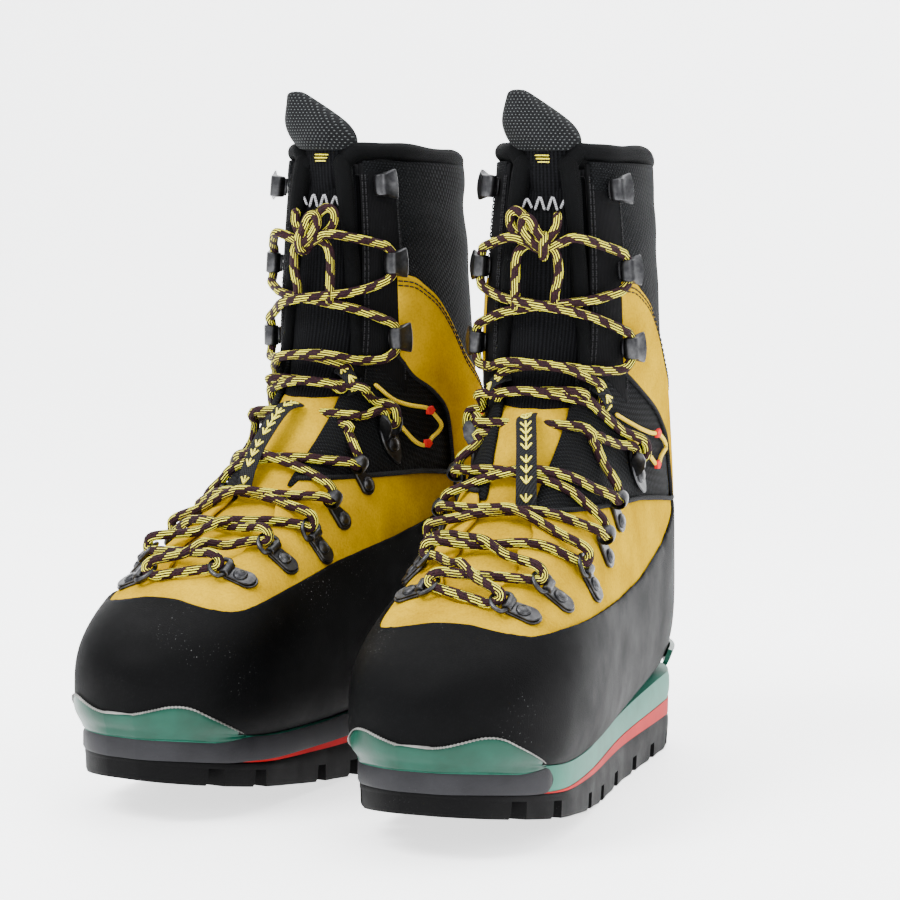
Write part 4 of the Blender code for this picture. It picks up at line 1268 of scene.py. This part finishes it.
def skin_reaches(line, heights):
    """How far the form's skin stands from the toe's centre, in each place's direction and at its height."""
    us, vs = np.meshgrid(0.36 * np.linspace(0.0, 1.0, 420) ** 2.4, np.linspace(-math.pi, math.pi, 420))
    points = form_points(us.ravel(), vs.ravel())
    points = points[np.abs(points[:, 2] - 0.045) < 0.018]
    flat = points[:, :2] - TOE_CENTRE
    turns = np.arctan2(flat[:, 0], flat[:, 1])
    reaches = np.linalg.norm(flat, axis=1)
    found = []
    for (x, s), z in zip(line, heights):
        turn = math.atan2(x - TOE_CENTRE[0], s - TOE_CENTRE[1])
        far_turn, far_z = turns - turn, points[:, 2] - z
        close = (np.abs(far_turn) < 0.04) & (np.abs(far_z) < 0.0022) & (reaches > 0.030)
        terms = np.column_stack([np.ones(close.sum()), far_turn[close], far_z[close], far_turn[close] ** 2])
        found.append(np.linalg.lstsq(terms, reaches[close], rcond=None)[0][0])
    return np.array(found)


def toe_welt():
    """The green welt: a ledge flush with the sole, a groove, and a cap that hugs the rand in two humps."""
    line, normal = sole_outline(0.250, 0.250, 46)
    travelled = np.concatenate([[0.0], np.cumsum(np.linalg.norm(np.diff(line, axis=0), axis=1))])
    shares = np.abs(travelled / travelled[-1] - 0.5) * 2.0
    base = np.array([float(band_top(s)) + 0.0001 for _, s in line])
    tall = along(WELT_HEIGHT, shares, 0.05)
    outward = line - TOE_CENTRE
    reach = np.linalg.norm(outward, axis=1)
    outward /= reach[:, None]
    ends = step(1.0, 0.86, shares)
    rings = []
    for rise, out, hug in WELT_SECTION:
        z = base + tall * rise
        skin = skin_reaches(line, z)
        stand = reach * (1.0 - hug) + skin * hug + (out * ends if out > 0.0 else out)
        if out > 0.0 and rise > 0.1:
            stand = np.maximum(stand, skin + 0.0012 * ends)
        rings.append(np.column_stack([TOE_CENTRE + outward * stand[:, None], z]))
    sections = [[tuple(ring[i]) for ring in rings] for i in range(len(line))]
    edge = [Vector(rings[-2][i]) + Vector((*outward[i], 0.0)) * 0.0002 for i in range(len(line))]
    return loft(sections), edge


def build_bands():
    place("toe_band", toe_band(), LOOKS["toe_band"], "foot", "outsole_rubber")
    welt, edge = toe_welt()
    place("toe_welt", subdivided(welt), LOOKS["welt"], "foot", "welt_green", ["toe_welt"])
    bead = [0.0005 + 0.00025 * math.sin(i * 1.7) for i in range(260)]
    glue = tube(catmull(edge[2:-2], len(bead)), bead, 6, flatten=0.5)
    place("welt_glue", glue, LOOKS["glue"], "foot", "welt_green")


# Hardware.

def rivet(axes, radius=0.0032, height=0.0016, base=0.0):
    profile = ((1.0, 0.0), (1.0, 0.35), (0.93, 0.6), (0.80, 0.75), (0.70, 0.72), (0.55, 0.92))
    profile = [(radius * r, base + height * h) for r, h in profile]
    return lathe(axes, [(0.0002, base), *profile, (0.0002, base + height)])


def plate(axes, outline, low, high, bevel=0.0003):
    """A thin plate: an outline in (away, up the throat), with rounded edges."""
    outline = np.array(outline)
    levels = ((low, bevel), (low + bevel, 0.0), (high - bevel, 0.0), (high, bevel))
    return loft([[at(axes, a, b, n) for a, b in drawn_in(outline, inset)] for n, inset in levels])


def capsule_outline(first, last, start_half, end_half, count=10):
    """An outline from a narrow end to a round far end, in (away, up the throat)."""
    turn = np.linspace(-math.pi / 2.0, math.pi / 2.0, count)
    far = [(last + end_half * math.cos(t), end_half * math.sin(t)) for t in turn]
    near = [(first - start_half * 0.3 * math.cos(t), -start_half * math.sin(t)) for t in turn]
    return far + near


def ring_clip(axes):
    """A folded strap: a tail with a round end under the rivet, and a curl round the ring's bar."""
    tail = capsule_outline(-BAR_REACH + 0.0004, 0.0036, 0.0036, 0.0044, 14)
    shape = plate(axes, tail, -0.0009, 0.0003, 0.00025)
    inner = WIRE_RADIUS + 0.0003
    outer = inner + CLIP_SHEET
    turns = np.linspace(-0.5 * math.pi, 0.95 * math.pi, 14)
    curl = [(-BAR_REACH - outer * math.cos(t), BAR_HEIGHT + outer * math.sin(t)) for t in turns]
    curl += [(-BAR_REACH - inner * math.cos(t), BAR_HEIGHT + inner * math.sin(t)) for t in turns[::-1]]
    sections = []
    for b, shrink in ((-0.0036, 0.85), (-0.0033, 1.0), (0.0033, 1.0), (0.0036, 0.85)):
        ring = [((a + BAR_REACH) * shrink - BAR_REACH, (n - BAR_HEIGHT) * shrink + BAR_HEIGHT)
                for a, n in curl]
        sections.append([at(axes, a, b, n) for a, n in ring])
    shape.merge(loft(sections))
    fold = capsule_outline(-BAR_REACH + 0.0008, 0.0030, 0.0034, 0.0041, 14)
    shape.merge(plate(axes, fold, 0.0004, 0.0014, 0.0003))
    shape.merge(rivet(axes, 0.0031, 0.0014, 0.0013))
    return shape


def ring_axes(name, number):
    """The local frame at a ring's rivet, moved so that the ring's bar lies on its joint in the frame."""
    s, x, z = RINGS[name][number]
    origin, away, up_throat, normal = frame_at(s, FLANKS[name] * x, z)
    across, forward, pivot = boot_frame("left")
    arm = np.array(JOINTS[f"left_ring_swing_{name}_{number + 1}"]["pos_m"]) - pivot
    hinge = Vector((arm @ across, arm @ forward, arm[2])) + Vector(PIVOT)
    bar = at((origin, away, up_throat, normal), -BAR_REACH, 0.0, BAR_HEIGHT)
    return origin + hinge - bar, away, up_throat, normal


def d_ring(axes):
    straight = RING_HALF_WIDTH - RING_CORNER
    points = [(0.0, -straight), (0.0, 0.0), (0.0, straight)]
    for t in np.linspace(0.06, math.pi - 0.06, 9):
        points.append((RING_CORNER * 0.6 + (RING_REACH - RING_CORNER * 0.6) * math.sin(t) ** 0.9,
                       RING_HALF_WIDTH * math.cos(t)))
    line = [at(axes, -BAR_REACH - a, b, BAR_HEIGHT) for a, b in points]
    smooth = catmull(line + [line[0]], 60)[:-1]
    return tube(smooth, WIRE_RADIUS, 12, closed=True)


def loop_eyelet(axes):
    """A drop-shaped plate with a rivet, and at its narrow end a closed eye over the eyestay's edge."""
    shape = plate(axes, capsule_outline(-0.0085, 0.0006, 0.0022, 0.0044, 14), -0.0008, 0.0010, 0.0004)
    shape.merge(rivet(axes, 0.0032, 0.0015, 0.0009))
    eye = []
    for t in np.linspace(0.0, 2.0 * math.pi, 32, endpoint=False):
        eye.append(at(axes, -0.0108 + 0.0032 * math.cos(t), 0.0, 0.0034 + 0.0034 * math.sin(t)))
    sections = []
    for i, point in enumerate(eye):
        t = 2.0 * math.pi * i / len(eye)
        out = (axes[1] * math.cos(t) + axes[3] * math.sin(t)).normalized()
        ring = []
        for a in np.linspace(0.0, 2.0 * math.pi, 10, endpoint=False):
            ring.append(point + out * 0.0007 * math.cos(a) + axes[2] * 0.0030 * math.sin(a))
        sections.append(ring)
    shape.merge(loft(sections, closed=True))
    return shape


LOCK_JAW = ((-0.0030, 0.0010), (-0.0090, 0.0010), (-0.0130, 0.0022), (-0.0150, 0.0046), (-0.0138, 0.0068),
            (-0.0105, 0.0074), (-0.0070, 0.0062), (-0.0045, 0.0040))


def lock_hook(axes):
    """Leaf-shaped base, rivet, and a folded jaw that grips the lace."""
    leaf = []
    for t in np.linspace(0.0, 2.0 * math.pi, 40, endpoint=False):
        a = 0.0125 * math.cos(t)
        leaf.append((a - 0.0030, 0.0058 * math.sin(t) * (1.0 - 0.35 * (a / 0.0125) ** 2)))
    shape = plate(axes, leaf, -0.0004, 0.0012, 0.0005)
    shape.merge(rivet(axes, 0.0036, 0.0018, 0.0010))
    for sign in (1.0, -1.0):
        shape.merge(loft([[at(axes, a + pull, sign * b, n - pull * 0.5) for a, n in LOCK_JAW]
                          for b, pull in ((0.0036, 0.0005), (0.0039, 0.0), (0.0046, 0.0), (0.0049, 0.0005))]))
    return shape


def speed_hook(axes):
    """A saddle plate folded over from the throat's side on a riveted foot, with a flared lip at its mouth."""
    shape = plate(axes, capsule_outline(-0.0030, 0.0022, 0.0040, 0.0036, 12), 0.0002, 0.0012, 0.0003)
    sections = []
    for share in np.linspace(-1.0, 1.0, 15):
        ring = []
        for side, depth in ((1.0, 0.0), (-1.0, 0.0009)):
            wall = []
            for t in np.linspace(-0.50 * math.pi, 0.58 * math.pi, 12):
                a = -0.0022 - (0.0036 - depth) * math.cos(t) * (1.0 - 0.12 * share * share)
                wall.append((a, 0.0044 + (0.0034 - depth) * math.sin(t), 0.0048))
            wall.append((0.0020, 0.0078 - depth - 0.0008 * share * share, 0.0060))
            lip = 0.0078 * (1.0 - 0.06 * share * share)
            wall.append((0.0042, 0.0084 - depth - 0.0016 * share * share, lip))
            ring.extend(wall if side > 0.0 else wall[::-1])
        sections.append([at(axes, a, half * share, n) for a, n, half in ring])
    shape.merge(subdivided(loft(sections)))
    return shape


def build_hardware():
    for name, flank in FLANKS.items():
        for number in range(1, len(RINGS[name]) + 1):
            axes = ring_axes(name, number - 1)
            place(f"clip_{name}_{number}", ring_clip(axes), LOOKS["gunmetal"], "foot", "gunmetal",
                  [f"ring_clip_{name}_{number}"], sharp=35.0)
            ring = f"lace_ring_{name}_{number}"
            place(f"ring_{name}_{number}", d_ring(axes), LOOKS["gunmetal"], ring, "gunmetal", [ring])
        eyelets = Shape()
        for s, x, z in LOOPS[name]:
            eyelets.merge(loop_eyelet(frame_at(s, flank * x, z)))
        place(f"eyelets_{name}", eyelets, LOOKS["gunmetal"], "foot", "gunmetal", sharp=35.0)
        s, x, z = LOCKS[name]
        lock = lock_hook(frame_at(s, flank * x, z, LOCK_TWIST))
        place(f"lock_hook_{name}", lock, LOOKS["gunmetal"], "foot", "gunmetal", sharp=35.0)
        hooks = Shape()
        for s, x, z in HOOKS[name]:
            hooks.merge(speed_hook(frame_at(s, flank * x, z)))
        place(f"speed_hooks_{name}", hooks, LOOKS["gunmetal"], "cuff", "gunmetal", sharp=35.0)


# Laces.

# The lace's turns round each kind of hardware, rising: away from the throat, up the throat and outwards.
FAR_BAR = BAR_REACH + RING_REACH
RING_TURN = ((-FAR_BAR - 0.0008, -0.0020, -0.0006), (-FAR_BAR + 0.0034, -0.0004, 0.0019),
             (-FAR_BAR + 0.0026, 0.0014, 0.0040), (-FAR_BAR - 0.0016, 0.0024, 0.0044))
EYE_TURN = ((-0.0160, -0.0040, 0.0028), (-0.0114, -0.0018, 0.0036), (-0.0114, 0.0018, 0.0036),
            (-0.0160, 0.0040, 0.0032))
LOCK_TURN = ((-0.0165, -0.0022, 0.0030), (-0.0100, -0.0016, 0.0034), (-0.0086, 0.0008, 0.0050),
             (-0.0110, 0.0016, 0.0068), (-0.0165, 0.0022, 0.0066))
KEEPER_TURN = ((-0.0015, -0.0050, 0.0006), (0.0, 0.0, 0.0008), (-0.0015, 0.0050, 0.0010))
HOOK_TURN = ((-0.0085, -0.0088, 0.0038), (-0.0040, -0.0066, 0.0042), (-0.0014, -0.0030, 0.0042),
             (-0.0014, 0.0030, 0.0042), (-0.0040, 0.0066, 0.0042), (-0.0085, 0.0088, 0.0040))
LOCK_TWIST = 0.35


def spanning(first, last, rest, bumps=()):
    """Places on the line between two points, held up by the form: bumps are (share of the way, height)."""
    shares = np.linspace(0.0, 1.0, 11)
    spots = []
    lifts = []
    for t in shares:
        straight = first.lerp(last, float(t))
        u, v = locate(straight.y, straight.x, straight.z)
        stand = (straight - on_form(u, v)).dot(Vector(form_normals(u, v)[0]))
        beside = float(step(0.007, 0.013, abs(straight.x))) if straight.z < 0.165 else 0.0
        spots.append((u, v))
        lifts.append(max(stand, rest + (0.0013 - rest) * beside))
    lifts = np.array(lifts)
    for _ in range(2):
        lifts[1:-1] = (lifts[:-2] + 2.0 * lifts[1:-1] + lifts[2:]) / 4.0
    for centre, height in bumps:
        lifts += height * np.exp(-((shares - centre) / 0.13) ** 2)
    return [on_form(u, v, lift) for (u, v), lift in list(zip(spots, lifts))[2:-2]]


def lacing_stops():
    """The turns of the lace from the toe up, as points in the order it takes them, for each flank."""
    stops = {}
    for name, flank in FLANKS.items():
        turns = [(RING_TURN, ring_axes(name, number)) for number in range(len(RINGS[name]))]
        turns += [(EYE_TURN, frame_at(s, flank * x, z)) for s, x, z in LOOPS[name]]
        s, x, z = LOCKS[name]
        turns.append((LOCK_TURN, frame_at(s, flank * x, z, LOCK_TWIST)))
        s, x, z = np.mean(KEEPERS[name], axis=0)
        turns.append((KEEPER_TURN, frame_at(s, flank * x, z)))
        turns += [(HOOK_TURN, frame_at(s, flank * x, z)) for s, x, z in HOOKS[name][:2]]
        stops[flank] = [[at(axes, *place_) for place_ in turn] for turn, axes in turns]
    return stops


# For each gap between levels: the resting height, and how far each half of the lace rises over the other,
# first the half that starts on the outer side.
SPANS = ((-0.0006, 0.0038, 0.0), (-0.0006, -0.0002, 0.0036), (-0.0008, 0.0038, 0.0), (-0.0012, 0.0036, 0.0),
         (-0.0016, 0.0036, 0.0), (0.0012, 0.0034, 0.0), (0.0024, 0.0040, 0.0), (0.0024, 0.0, 0.0042))
KEEPER_SPAN = 5


def lace_run(start_flank, stops, bow_end):
    """One half of the lace, from the lowest ring on one flank up to the second hook and the knot."""
    flank = start_flank
    path = list(stops[flank][0])
    for level, (rest, outer_rise, inner_rise) in enumerate(SPANS):
        flank = -flank
        following = stops[flank][level + 1]
        rise = outer_rise if start_flank > 0.0 else inner_rise
        middle = 0.45 if level == KEEPER_SPAN else 0.5
        path += spanning(path[-1], following[0], rest, [(middle, rise)])
        path += following
    return path + bow_end(flank)


KNOT = (0.1372, 0.0025, 0.2340)


def knot_axes():
    u, v = locate(*KNOT)
    return frame_uv(u, 0.05)


# The knot's strands: two bunched loops to one side, one short end up and two ends that hang down.
KNOT_STRANDS = (
    ((0.0010, 0.0010, 0.0048), (-0.0040, 0.0060, 0.0070), (-0.0085, 0.0120, 0.0072),
     (-0.0122, 0.0146, 0.0062), (-0.0152, 0.0122, 0.0050), (-0.0142, 0.0068, 0.0044),
     (-0.0085, 0.0022, 0.0046), (-0.0020, -0.0012, 0.0052)),
    ((0.0014, 0.0006, 0.0066), (-0.0022, 0.0054, 0.0096), (-0.0050, 0.0104, 0.0100),
     (-0.0080, 0.0110, 0.0094), (-0.0090, 0.0072, 0.0088), (-0.0058, 0.0024, 0.0082),
     (-0.0010, -0.0016, 0.0076)),
    ((-0.0010, -0.0004, 0.0050), (0.0034, 0.0042, 0.0056), (0.0052, 0.0082, 0.0054),
     (0.0056, 0.0122, 0.0050)),
    ((-0.0040, 0.0010, 0.0042), (-0.0095, -0.0006, 0.0036), (-0.0124, -0.0050, 0.0034),
     (-0.0129, -0.0130, 0.0030), (-0.0128, -0.0200, 0.0028), (-0.0127, -0.0262, 0.0026)),
    ((0.0006, -0.0002, 0.0050), (0.0046, -0.0028, 0.0052), (0.0060, -0.0080, 0.0044),
     (0.0060, -0.0140, 0.0036), (0.0046, -0.0200, 0.0032), (0.0044, -0.0246, 0.0030)),
)


def bow():
    """The knot: a wrap and its strands."""
    axes = knot_axes()
    shape = Shape()
    wrap_ = [(0.0006 * math.sin(t), -0.0006 + 0.0044 * math.cos(t), 0.0060 + 0.0032 * math.sin(t))
             for t in np.linspace(-2.6, 2.9, 12)]
    for strand in (wrap_, *KNOT_STRANDS):
        line = catmull([at(axes, *place_) for place_ in strand], len(strand) * 6)
        shape.merge(rounded_tube(line, LACE_RADIUS, 12))
    return shape


def build_laces():
    stops = lacing_stops()
    axes = knot_axes()

    def to_knot(flank):
        return [at(axes, flank * 0.0150, 0.0030, 0.0062), at(axes, flank * 0.0080, 0.0012, 0.0058),
                at(axes, flank * 0.0022, -0.0018, 0.0054), at(axes, -flank * 0.0024, -0.0030, 0.0056)]

    bar = spanning(stops[1.0][0][0], stops[-1.0][0][0], 0.0006)
    outer_run = lace_run(1.0, stops, to_knot)
    inner_run = lace_run(-1.0, stops, to_knot)
    whole = outer_run[::-1] + bar + inner_run
    shape = tube(catmull(whole, len(whole) * 5), LACE_RADIUS, 12)
    shape.merge(bow())
    place("lace", shape, LOOKS["lace"], "bend", "lace_yellow", ["lace"])


# Trimmings.

WEBBING = 0.0011
STRAP_WIDTH, KEEPER_WIDTH = 0.0090, 0.0062
STRAP_ARCH = (-0.0030, 0.0030, 0.0052, 0.0054, 0.0052, 0.0040, -0.0030)
KEEPER_ARCH = (-0.0030, 0.0026, 0.0036, 0.0034, -0.0030)
RIBBON_SECTION = ((-1.0, -0.3), (-0.96, 0.5), (-0.6, 0.85), (0.0, 1.0), (0.6, 0.85), (0.96, 0.5),
                  (1.0, -0.3), (0.9, -1.0), (0.0, -1.0), (-0.9, -1.0))


def ribbon(ends, width, depths, count=26):
    """A flat strap between two plan places, arched by its depths, and its frames for what is sewn on it."""
    (u0, v0), (u1, v1) = (locate(s, x, z) for s, x, z in ends)
    depths = np.interp(np.linspace(0.0, 1.0, count), np.linspace(0.0, 1.0, len(depths)), depths)
    path = []
    normals = []
    for t, depth in zip(np.linspace(0.0, 1.0, count), depths):
        u = u0 + (u1 - u0) * t
        v = v0 + (v1 - v0) * t
        path.append(on_form(u, v, depth))
        normals.append(Vector(form_normals(u, v)[0]))
    for _ in range(3):
        path = [path[0]] + [(a + b * 2.0 + c) / 4.0 for a, b, c in zip(path, path[1:], path[2:])] + [path[-1]]
    sections = []
    frames = []
    for i, (point, normal) in enumerate(zip(path, normals)):
        forward = (path[min(i + 1, count - 1)] - path[max(i - 1, 0)]).normalized()
        side = forward.cross(normal).normalized()
        normal = side.cross(forward).normalized()
        frames.append((point, side, forward, normal))
        ring = []
        for a, n in RIBBON_SECTION:
            ring.append(point + side * (a * width / 2.0) + normal * (n * WEBBING / 2.0))
        sections.append(ring)
    return loft(sections), frames


CHEVRON = ((-0.5, 0.0012), (-0.25, -0.0002), (0.0, -0.0014), (0.25, -0.0002), (0.5, 0.0012))
CHEVRON_STEM = ((0.0, -0.0014), (0.0, 0.0018))
CHEVRON_RADIUS = 0.00042
CHEVRON_LIFT = 0.0007


def chevrons(frames, width, first, last, number):
    """V-shaped stitches, pointing back down a ribbon."""
    shape = Shape()
    for share in np.linspace(first, last, number):
        axes = frames[int(round(share * (len(frames) - 1)))]
        for stroke, count in ((CHEVRON, 9), (CHEVRON_STEM, 4)):
            line = [at(axes, width * a, b, CHEVRON_LIFT) for a, b in stroke]
            shape.merge(rounded_tube(catmull(line, count), CHEVRON_RADIUS, 6))
    return shape


def build_straps():
    strap, frames = ribbon(STRAP, STRAP_WIDTH, STRAP_ARCH)
    place("strap", subdivided(strap), LOOKS["webbing"], "foot", "mesh_black")
    marks = chevrons(frames, 0.0042, 0.10, 0.92, 10)
    place("strap_chevrons", marks, LOOKS["chevron"], "foot", "lace_yellow")
    for name, flank in FLANKS.items():
        ends = [(s, flank * x, z) for s, x, z in KEEPERS[name]]
        keeper, frames = ribbon(ends, KEEPER_WIDTH, KEEPER_ARCH, 20)
        place(f"keeper_{name}", subdivided(keeper), LOOKS["webbing"], "bend", "mesh_black")
        marks = chevrons(frames, 0.0036, 0.2, 0.8, 3)
        place(f"keeper_chevrons_{name}", marks, LOOKS["chevron"], "bend", "lace_yellow")


CORDS = {
    "inner": ((0.1280, 0.0255, 0.1703), (0.1191, 0.0301, 0.1634), (0.1021, 0.0354, 0.1595),
              (0.0979, 0.0363, 0.1579), (0.0930, 0.0371, 0.1544), (0.0894, 0.0376, 0.1501),
              (0.0965, 0.0366, 0.1452), (0.0986, 0.0362, 0.1424), (0.1085, 0.0341, 0.1449),
              (0.1240, 0.0285, 0.1591)),
    "outer": ((0.1206, 0.0301, 0.1615), (0.0895, 0.0383, 0.1517), (0.0817, 0.0391, 0.1511),
              (0.0677, 0.0395, 0.1446), (0.0760, 0.0392, 0.1405), (0.0823, 0.0390, 0.1370),
              (0.0980, 0.0374, 0.1450), (0.1232, 0.0296, 0.1573)),
}
TABS = {"inner": ((0.0979, 0.0363, 0.1579), (0.0995, 0.0362, 0.1430)),
        "outer": ((0.0830, 0.0390, 0.1512), (0.0823, 0.0390, 0.1372))}
TAB_OUTLINE = ((-0.0026, -0.0016), (0.0010, -0.0020), (0.0028, 0.0), (0.0010, 0.0020), (-0.0026, 0.0016))


def surface_tube(spots, radius, depth, corners=8, spacing=0.0012):
    """A tube along (u, v) places on the form."""
    line = resampled(spots, spacing)
    return rounded_tube([on_form(u, v, depth) for u, v in line], radius, corners)


def build_cords():
    for name, flank in FLANKS.items():
        spots = [locate(s, flank * x, z) for s, x, z in CORDS[name]]
        path = catmull([Vector((u, v, 0.0)) for u, v in spots], 90)
        cord = surface_tube([tuple(point)[:2] for point in path], 0.00095, 0.0002, 8, 0.0010)
        place(f"cord_{name}", cord, LOOKS["cord"], "bend", "lace_yellow")
        tabs = Shape()
        for s, x, z in TABS[name]:
            axes = frame_at(s, flank * x, z)
            tabs.merge(plate(axes, TAB_OUTLINE, -0.0002, 0.0016, 0.0004))
        place(f"tabs_{name}", tabs, LOOKS["red_tab"], "bend", "wedge_red")


def stitches(lines, depth, pitch=0.0032, length=0.0023, radius=0.00034):
    """Short raised stitches along lines of (u, v) places."""
    shape = Shape()
    for line in lines:
        ends = resampled(line, pitch)
        share = length / pitch
        for a, b in zip(ends, ends[1:]):
            first = a + (b - a) * (1.0 - share) / 2.0
            last = b - (b - a) * (1.0 - share) / 2.0
            sunk = depth - radius * 0.8
            places = ((first, sunk), ((first + last) / 2.0, depth), (last, sunk))
            shape.merge(rounded_tube([on_form(*spot, lift) for spot, lift in places], radius, 6))
    return shape


# Turns round the cuff of the lace stay's rows of stitches, and their two heights.
STAY_SEAMS = (0.545, 0.585, 0.955)
STAY_SEAM_ENDS = (0.172, 0.264)


def build_piping_and_stitches():
    piping = Shape()
    for line in seam_lines(ROWS, TURN, below_foot_top, outside_throat, higher(0.100)):
        piping.merge(surface_tube(line, 0.0011, -0.0004))
    place("foot_piping", piping, LOOKS["webbing"], "bend", "mesh_black")
    edge = Shape()
    for line in seam_lines(QUARTER_ROWS, QUARTER_TURN, above_quarter_bottom, below_dome, higher(0.114)):
        edge.merge(surface_tube(line, 0.0009, -0.0006))
    place("quarter_piping", edge, LOOKS["webbing"], "bend", "mesh_black")
    dark = Shape()
    for distance in (0.0030, 0.0050):
        lines = seam_lines(QUARTER_ROWS, QUARTER_TURN, offset(below_dome, distance), above_quarter_bottom)
        dark.merge(stitches(lines, 0.0005))
    place("quarter_stitches", dark, LOOKS["stitch"], "bend", "mesh_black")
    for name, flank in FLANKS.items():
        lines = []
        for turn in STAY_SEAMS:
            spots = [locate_turn(z, flank * turn) for z in np.linspace(*STAY_SEAM_ENDS, 30)]
            lines.append(np.array(spots))
        seam = stitches(lines, -0.0001, 0.0030, 0.0021, 0.0003)
        place(f"placket_stitches_{name}", seam, LOOKS["stitch"], "cuff", "stay_black")


# The mark's peaks as (away from the middle, height), and the label's bars as (z, half width).
MARK_Z = 0.2520
MARK_PEAKS = ((-0.0085, 0.0034), (-0.0028, 0.0050), (0.0028, 0.0050), (0.0085, 0.0034))
LABEL_BARS = ((0.2722, 0.0044), (0.2708, 0.0037), (0.2694, 0.0028))


def build_marks():
    """Generic embroidery on the upper tongue and a small woven label under the leaf."""
    shape = Shape()
    axes = frame_uv(locate_turn(MARK_Z, 0.0)[0], 0.02)
    for a, height in MARK_PEAKS:
        points = [at(axes, a - 0.0020, -height / 2.0, -0.0030), at(axes, a, height / 2.0, -0.0028),
                  at(axes, a + 0.0020, -height / 2.0, -0.0030)]
        shape.merge(rounded_tube(catmull(points, 12), 0.00055, 6))
    place("tongue_mark", shape, LOOKS["grey_thread"], "cuff", "mesh_black")
    label = Shape()
    for z, half in LABEL_BARS:
        shares = np.linspace(-1.0, 1.0, 8)
        line = [Vector((share * half, 0.1364 - 0.0015 * share * share, z)) for share in shares]
        label.merge(rounded_tube(line, 0.0003, 6))
    place("tongue_label", label, LOOKS["chevron"], "fold", "lace_yellow")


def dress_cad_nodes():
    """Looks for the hidden parts that are shown as the frame has them."""
    for side in SIDES:
        for node, look in (("heel_welt", "welt"), ("footbed", "footbed"), ("foot_lining", "lining")):
            for slot in bpy.data.objects[f"{side}_{node}"].material_slots:
                slot.material = LOOKS[look]


def build_stage():
    floor_mesh = bpy.data.meshes.new("floor")
    bm = bmesh.new()
    width, front, back, height, bend = 3.0, -3.0, 1.6, 3.0, 0.8
    profile = [(front, 0.0), (back - bend, 0.0)]
    for t in np.linspace(0.0, math.pi / 2.0, 12):
        profile.append((back - bend + bend * math.sin(t), bend - bend * math.cos(t)))
    profile.append((back, height))
    rows = [[bm.verts.new((x, y, z)) for y, z in profile] for x in (-width, width)]
    for i in range(len(profile) - 1):
        bm.faces.new((rows[0][i], rows[1][i], rows[1][i + 1], rows[0][i + 1]))
    bm.to_mesh(floor_mesh)
    bm.free()
    floor_mesh.shade_smooth()

    def pale(tree):
        clouds = noise(tree, 3.0)
        return {"colour": ramp(tree, clouds, (0.3, (0.93, 0.935, 0.945)), (0.7, (0.96, 0.965, 0.97)))}

    floor_mesh.materials.append(material("floor_look", pale, Roughness=0.6, Emission_Strength=1.70,
                                         Emission_Color=(1.0, 1.0, 1.0, 1.0)))
    floor = bpy.data.objects.new("floor", floor_mesh)
    bpy.context.scene.collection.objects.link(floor)


def area_light(name, place_, target, size, power):
    data = bpy.data.lights.new(name, "AREA")
    data.shape = "RECTANGLE"
    data.size, data.size_y = size
    data.energy = power
    lamp = bpy.data.objects.new(name, data)
    lamp.location = place_
    lamp.rotation_euler = (Vector(target) - Vector(place_)).to_track_quat("-Z", "Y").to_euler()
    bpy.context.scene.collection.objects.link(lamp)


def build_lights():
    world = bpy.data.worlds.new("studio")
    bpy.context.scene.world = world
    world.use_nodes = True
    background = world.node_tree.nodes["Background"]
    background.inputs["Color"].default_value = (0.97, 0.985, 1.0, 1.0)
    background.inputs["Strength"].default_value = 1.35
    target = (0.0, 0.0, 0.12)
    area_light("key", (-0.7, -1.1, 1.6), target, (1.0, 1.0), 70.0)
    area_light("fill", (1.3, -0.9, 0.9), target, (1.0, 1.2), 20.0)
    area_light("top", (0.1, 0.3, 1.9), target, (1.6, 1.2), 34.0)


AZIMUTH, ELEVATION, ROLL = math.radians(23.4), math.radians(5.0), math.radians(0.78)
DISTANCE = 1.202
LENS = 111.1
# The point aimed at: how far to the camera's right, then the place it is measured from.
AIM = (0.0170, 0.0010, -0.0084, 0.1450)


def build_camera():
    back = Vector((math.sin(AZIMUTH) * math.cos(ELEVATION), -math.cos(AZIMUTH) * math.cos(ELEVATION),
                   math.sin(ELEVATION)))
    right = Vector((math.cos(AZIMUTH), math.sin(AZIMUTH), 0.0))
    up = back.cross(right)
    turned_right = right * math.cos(ROLL) + up * math.sin(ROLL)
    turned_up = up * math.cos(ROLL) - right * math.sin(ROLL)
    data = bpy.data.cameras.new("camera")
    data.lens = LENS
    data.sensor_width = 36.0
    camera = bpy.data.objects.new("camera", data)
    place_ = Vector(AIM[1:]) + right * AIM[0] + back * DISTANCE
    axes = Matrix((turned_right, turned_up, back)).transposed().to_4x4()
    camera.matrix_world = Matrix.Translation(place_) @ axes
    bpy.context.scene.collection.objects.link(camera)
    bpy.context.scene.camera = camera


build_upper()
build_cuff()
build_tongue()
build_sole()
build_bands()
build_hardware()
build_laces()
build_straps()
build_cords()
build_piping_and_stitches()
build_marks()
dress_cad_nodes()
build_stage()
build_lights()
build_camera()
